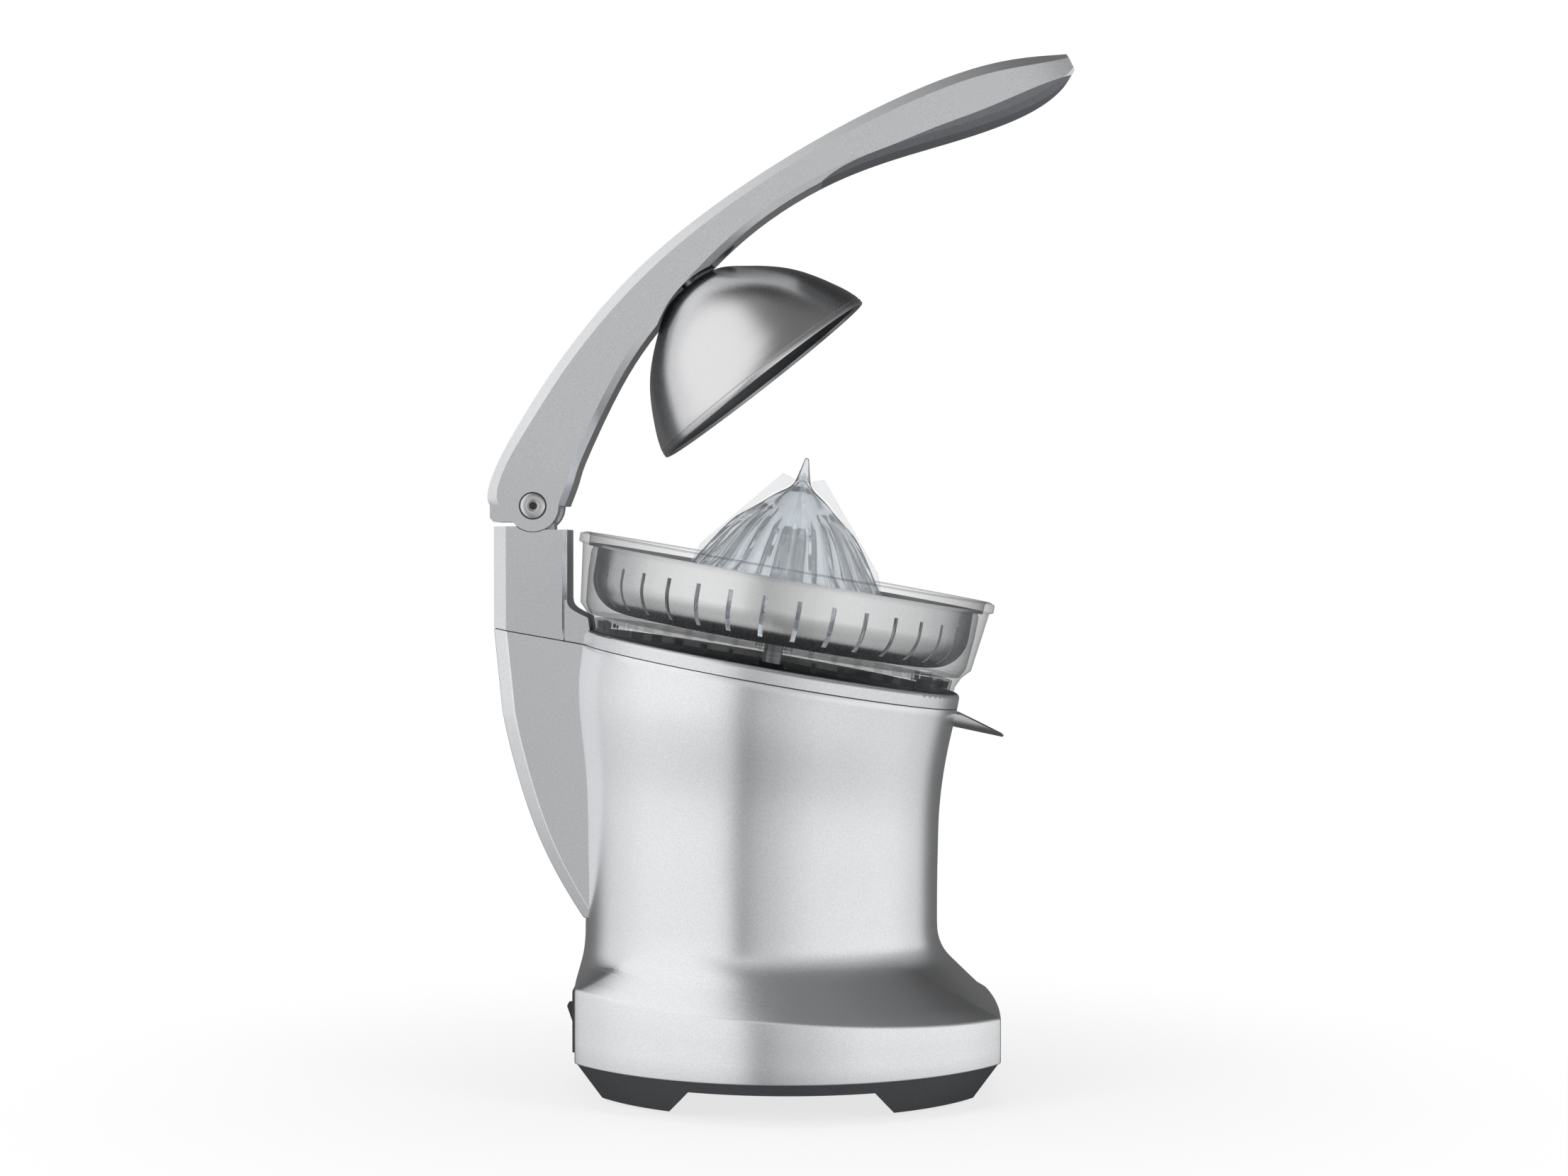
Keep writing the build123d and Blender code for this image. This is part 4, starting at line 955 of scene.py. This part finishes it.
join(floorMaterial, share.outputs[0], mixer.inputs["Fac"])
join(floorMaterial, shaderOf(floorMaterial).outputs[0], mixer.inputs[1])
join(floorMaterial, glow.outputs[0], mixer.inputs[2])
clearWay = addNode(floorMaterial, "ShaderNodeBsdfTransparent")
inMetal = addNode(floorMaterial, "ShaderNodeMixShader")
join(floorMaterial, lightPath.outputs["Is Glossy Ray"], inMetal.inputs["Fac"])
join(floorMaterial, mixer.outputs[0], inMetal.inputs[1])
join(floorMaterial, clearWay.outputs[0], inMetal.inputs[2])
floorOutput = floorMaterial.node_tree.nodes["Material Output"]
join(floorMaterial, inMetal.outputs[0], floorOutput.inputs["Surface"])
floorDisc.data.materials.append(floorMaterial)

# brightness of the studio by direction, as position and level: 0.5 is the camera's side, and 0 and 1
# are behind the object
studioBands = [
    (0.0, 0.12), (0.11, 0.13), (0.19, 0.80), (0.30, 1.0), (0.425, 1.0), (0.445, 0.84), (0.460, 0.27),
    (0.474, 0.29), (0.485, 0.54), (0.52, 0.66), (0.56, 0.84), (0.60, 0.98), (0.74, 1.0), (0.835, 0.80),
    (0.885, 0.13), (1.0, 0.12),
]
# the same without the dark strip by the camera, for what is seen above the horizon
upperBands = [
    (0.0, 0.10), (0.13, 0.12), (0.19, 0.75), (0.34, 1.0), (0.42, 0.86), (0.47, 0.64), (0.55, 0.60),
    (0.66, 0.60), (0.80, 0.45), (0.90, 0.12), (1.0, 0.10),
]
# and by height: 0 is straight down, 1 is straight up
studioHeights = [
    (0.0, 0.55), (0.25, 0.62), (0.395, 0.88), (0.435, 1.0), (0.60, 1.0), (0.70, 0.62), (0.80, 0.32),
    (1.0, 0.28),
]
# what clear plastic bends light from: white straight behind, darker beside it
clearBands = [
    (0.0, 1.0), (0.06, 1.0), (0.10, 0.30), (0.24, 0.30), (0.32, 0.9), (0.68, 0.9), (0.76, 0.30),
    (0.90, 0.30), (0.94, 1.0), (1.0, 1.0),
]
# where the upper bands take over from the lower, as the height of the direction
horizonValues = {"from": 0.03, "to": 0.16}
# one soft box on the upper left: its direction, and how close to it a ray has to be
boxValues = {"toward": (-0.80, -0.30, 0.52), "outer": 0.62, "inner": 0.88, "level": 1.0}
world = bpy.data.worlds.new("studio")
bpy.context.scene.world = world
world.use_nodes = True
tree = world.node_tree


def worldNode(kind, operation=None, value=None):
    node = tree.nodes.new(kind)
    if operation:
        node.operation = operation
    if value is not None:
        node.inputs[1].default_value = value
    return node


def worldRange(source, **values):
    node = worldNode("ShaderNodeMapRange")
    for name, value in values.items():
        if name == "soft":
            node.interpolation_type = "SMOOTHSTEP"
        else:
            node.inputs[name.replace("_", " ")].default_value = value
    tree.links.new(source, node.inputs["Value"])
    return node.outputs["Result"]


def bandRamp(levels, source):
    ramp = worldNode("ShaderNodeValToRGB")
    ramp.color_ramp.interpolation = "EASE"
    for index, (position, level) in enumerate(levels):
        stops = ramp.color_ramp.elements
        stop = stops[index] if index < 2 else stops.new(position)
        stop.position = position
        stop.color = (level, level, level, 1)
    tree.links.new(source, ramp.inputs["Fac"])
    return ramp.outputs["Color"]


def blend(first, second, factor=None, kind="MIX"):
    node = worldNode("ShaderNodeMix")
    node.data_type = "RGBA"
    node.blend_type = kind
    node.inputs["Factor"].default_value = 1
    if factor:
        tree.links.new(factor, node.inputs["Factor"])
    tree.links.new(first, node.inputs["A"])
    tree.links.new(second, node.inputs["B"])
    return node.outputs["Result"]


def mixLight(chosen, first, second):
    node = worldNode("ShaderNodeMixShader")
    for source, socket in ((chosen, "Fac"), (first, 1), (second, 2)):
        tree.links.new(source, node.inputs[socket])
    return node.outputs[0]


coordinates = worldNode("ShaderNodeTexCoord").outputs["Generated"]
split = worldNode("ShaderNodeSeparateXYZ")
tree.links.new(coordinates, split.inputs[0])
flip = worldNode("ShaderNodeMath", "MULTIPLY", -1)
tree.links.new(split.outputs["Y"], flip.inputs[0])
bearing = worldNode("ShaderNodeMath", "ARCTAN2")
tree.links.new(split.outputs["X"], bearing.inputs[0])
tree.links.new(flip.outputs[0], bearing.inputs[1])
turnShare = worldRange(bearing.outputs[0], From_Min=-math.pi, From_Max=math.pi)
rise = worldRange(split.outputs["Z"], From_Min=-1)
above = worldRange(split.outputs["Z"], From_Min=horizonValues["from"], From_Max=horizonValues["to"])
turned = blend(bandRamp(studioBands, turnShare), bandRamp(upperBands, turnShare), above)
studio = blend(turned, bandRamp(studioHeights, rise), kind="MULTIPLY")
towardBox = worldNode("ShaderNodeVectorMath", "DOT_PRODUCT")
towardBox.inputs[1].default_value = Vector(boxValues["toward"]).normalized()
tree.links.new(coordinates, towardBox.inputs[0])
boxGlow = worldRange(
    towardBox.outputs["Value"], soft=True, From_Min=boxValues["outer"], From_Max=boxValues["inner"],
    To_Max=boxValues["level"],
)
studio = blend(studio, boxGlow, kind="LIGHTEN")
background = tree.nodes["Background"]
background.inputs["Strength"].default_value = 1.0
tree.links.new(studio, background.inputs["Color"])
bent = worldNode("ShaderNodeBackground")
tree.links.new(bandRamp(clearBands, turnShare), bent.inputs["Color"])
pale = worldNode("ShaderNodeBackground")
pale.inputs["Color"].default_value = (1, 1, 1, 1)
rays = worldNode("ShaderNodeLightPath")
light = mixLight(rays.outputs["Is Transmission Ray"], background.outputs[0], bent.outputs[0])
light = mixLight(rays.outputs["Is Camera Ray"], light, pale.outputs[0])
tree.links.new(light, tree.nodes["World Output"].inputs["Surface"])

lampsToward = Vector((0, 0, 0.2))
lamps = {
    "leftBox": {"place": (-1.3, -0.9, 0.9), "size": (0.5, 1.2), "power": 11},
    "rightBox": {"place": (1.3, -0.9, 0.8), "size": (0.5, 1.2), "power": 11},
    "topBox": {"place": (0.1, 0.1, 1.6), "size": (1.0, 1.0), "power": 9},
}
for name, lamp in lamps.items():
    data = bpy.data.lights.new(name, "AREA")
    data.shape = "RECTANGLE"
    data.size, data.size_y = lamp["size"]
    data.energy = lamp["power"]
    lampObject = bpy.data.objects.new(name, data)
    lampObject.location = lamp["place"]
    lampObject.visible_glossy = False
    aim = lampsToward - lampObject.location
    lampObject.rotation_euler = aim.to_track_quat("-Z", "Y").to_euler()
    bpy.context.scene.collection.objects.link(lampObject)
print("stage set")
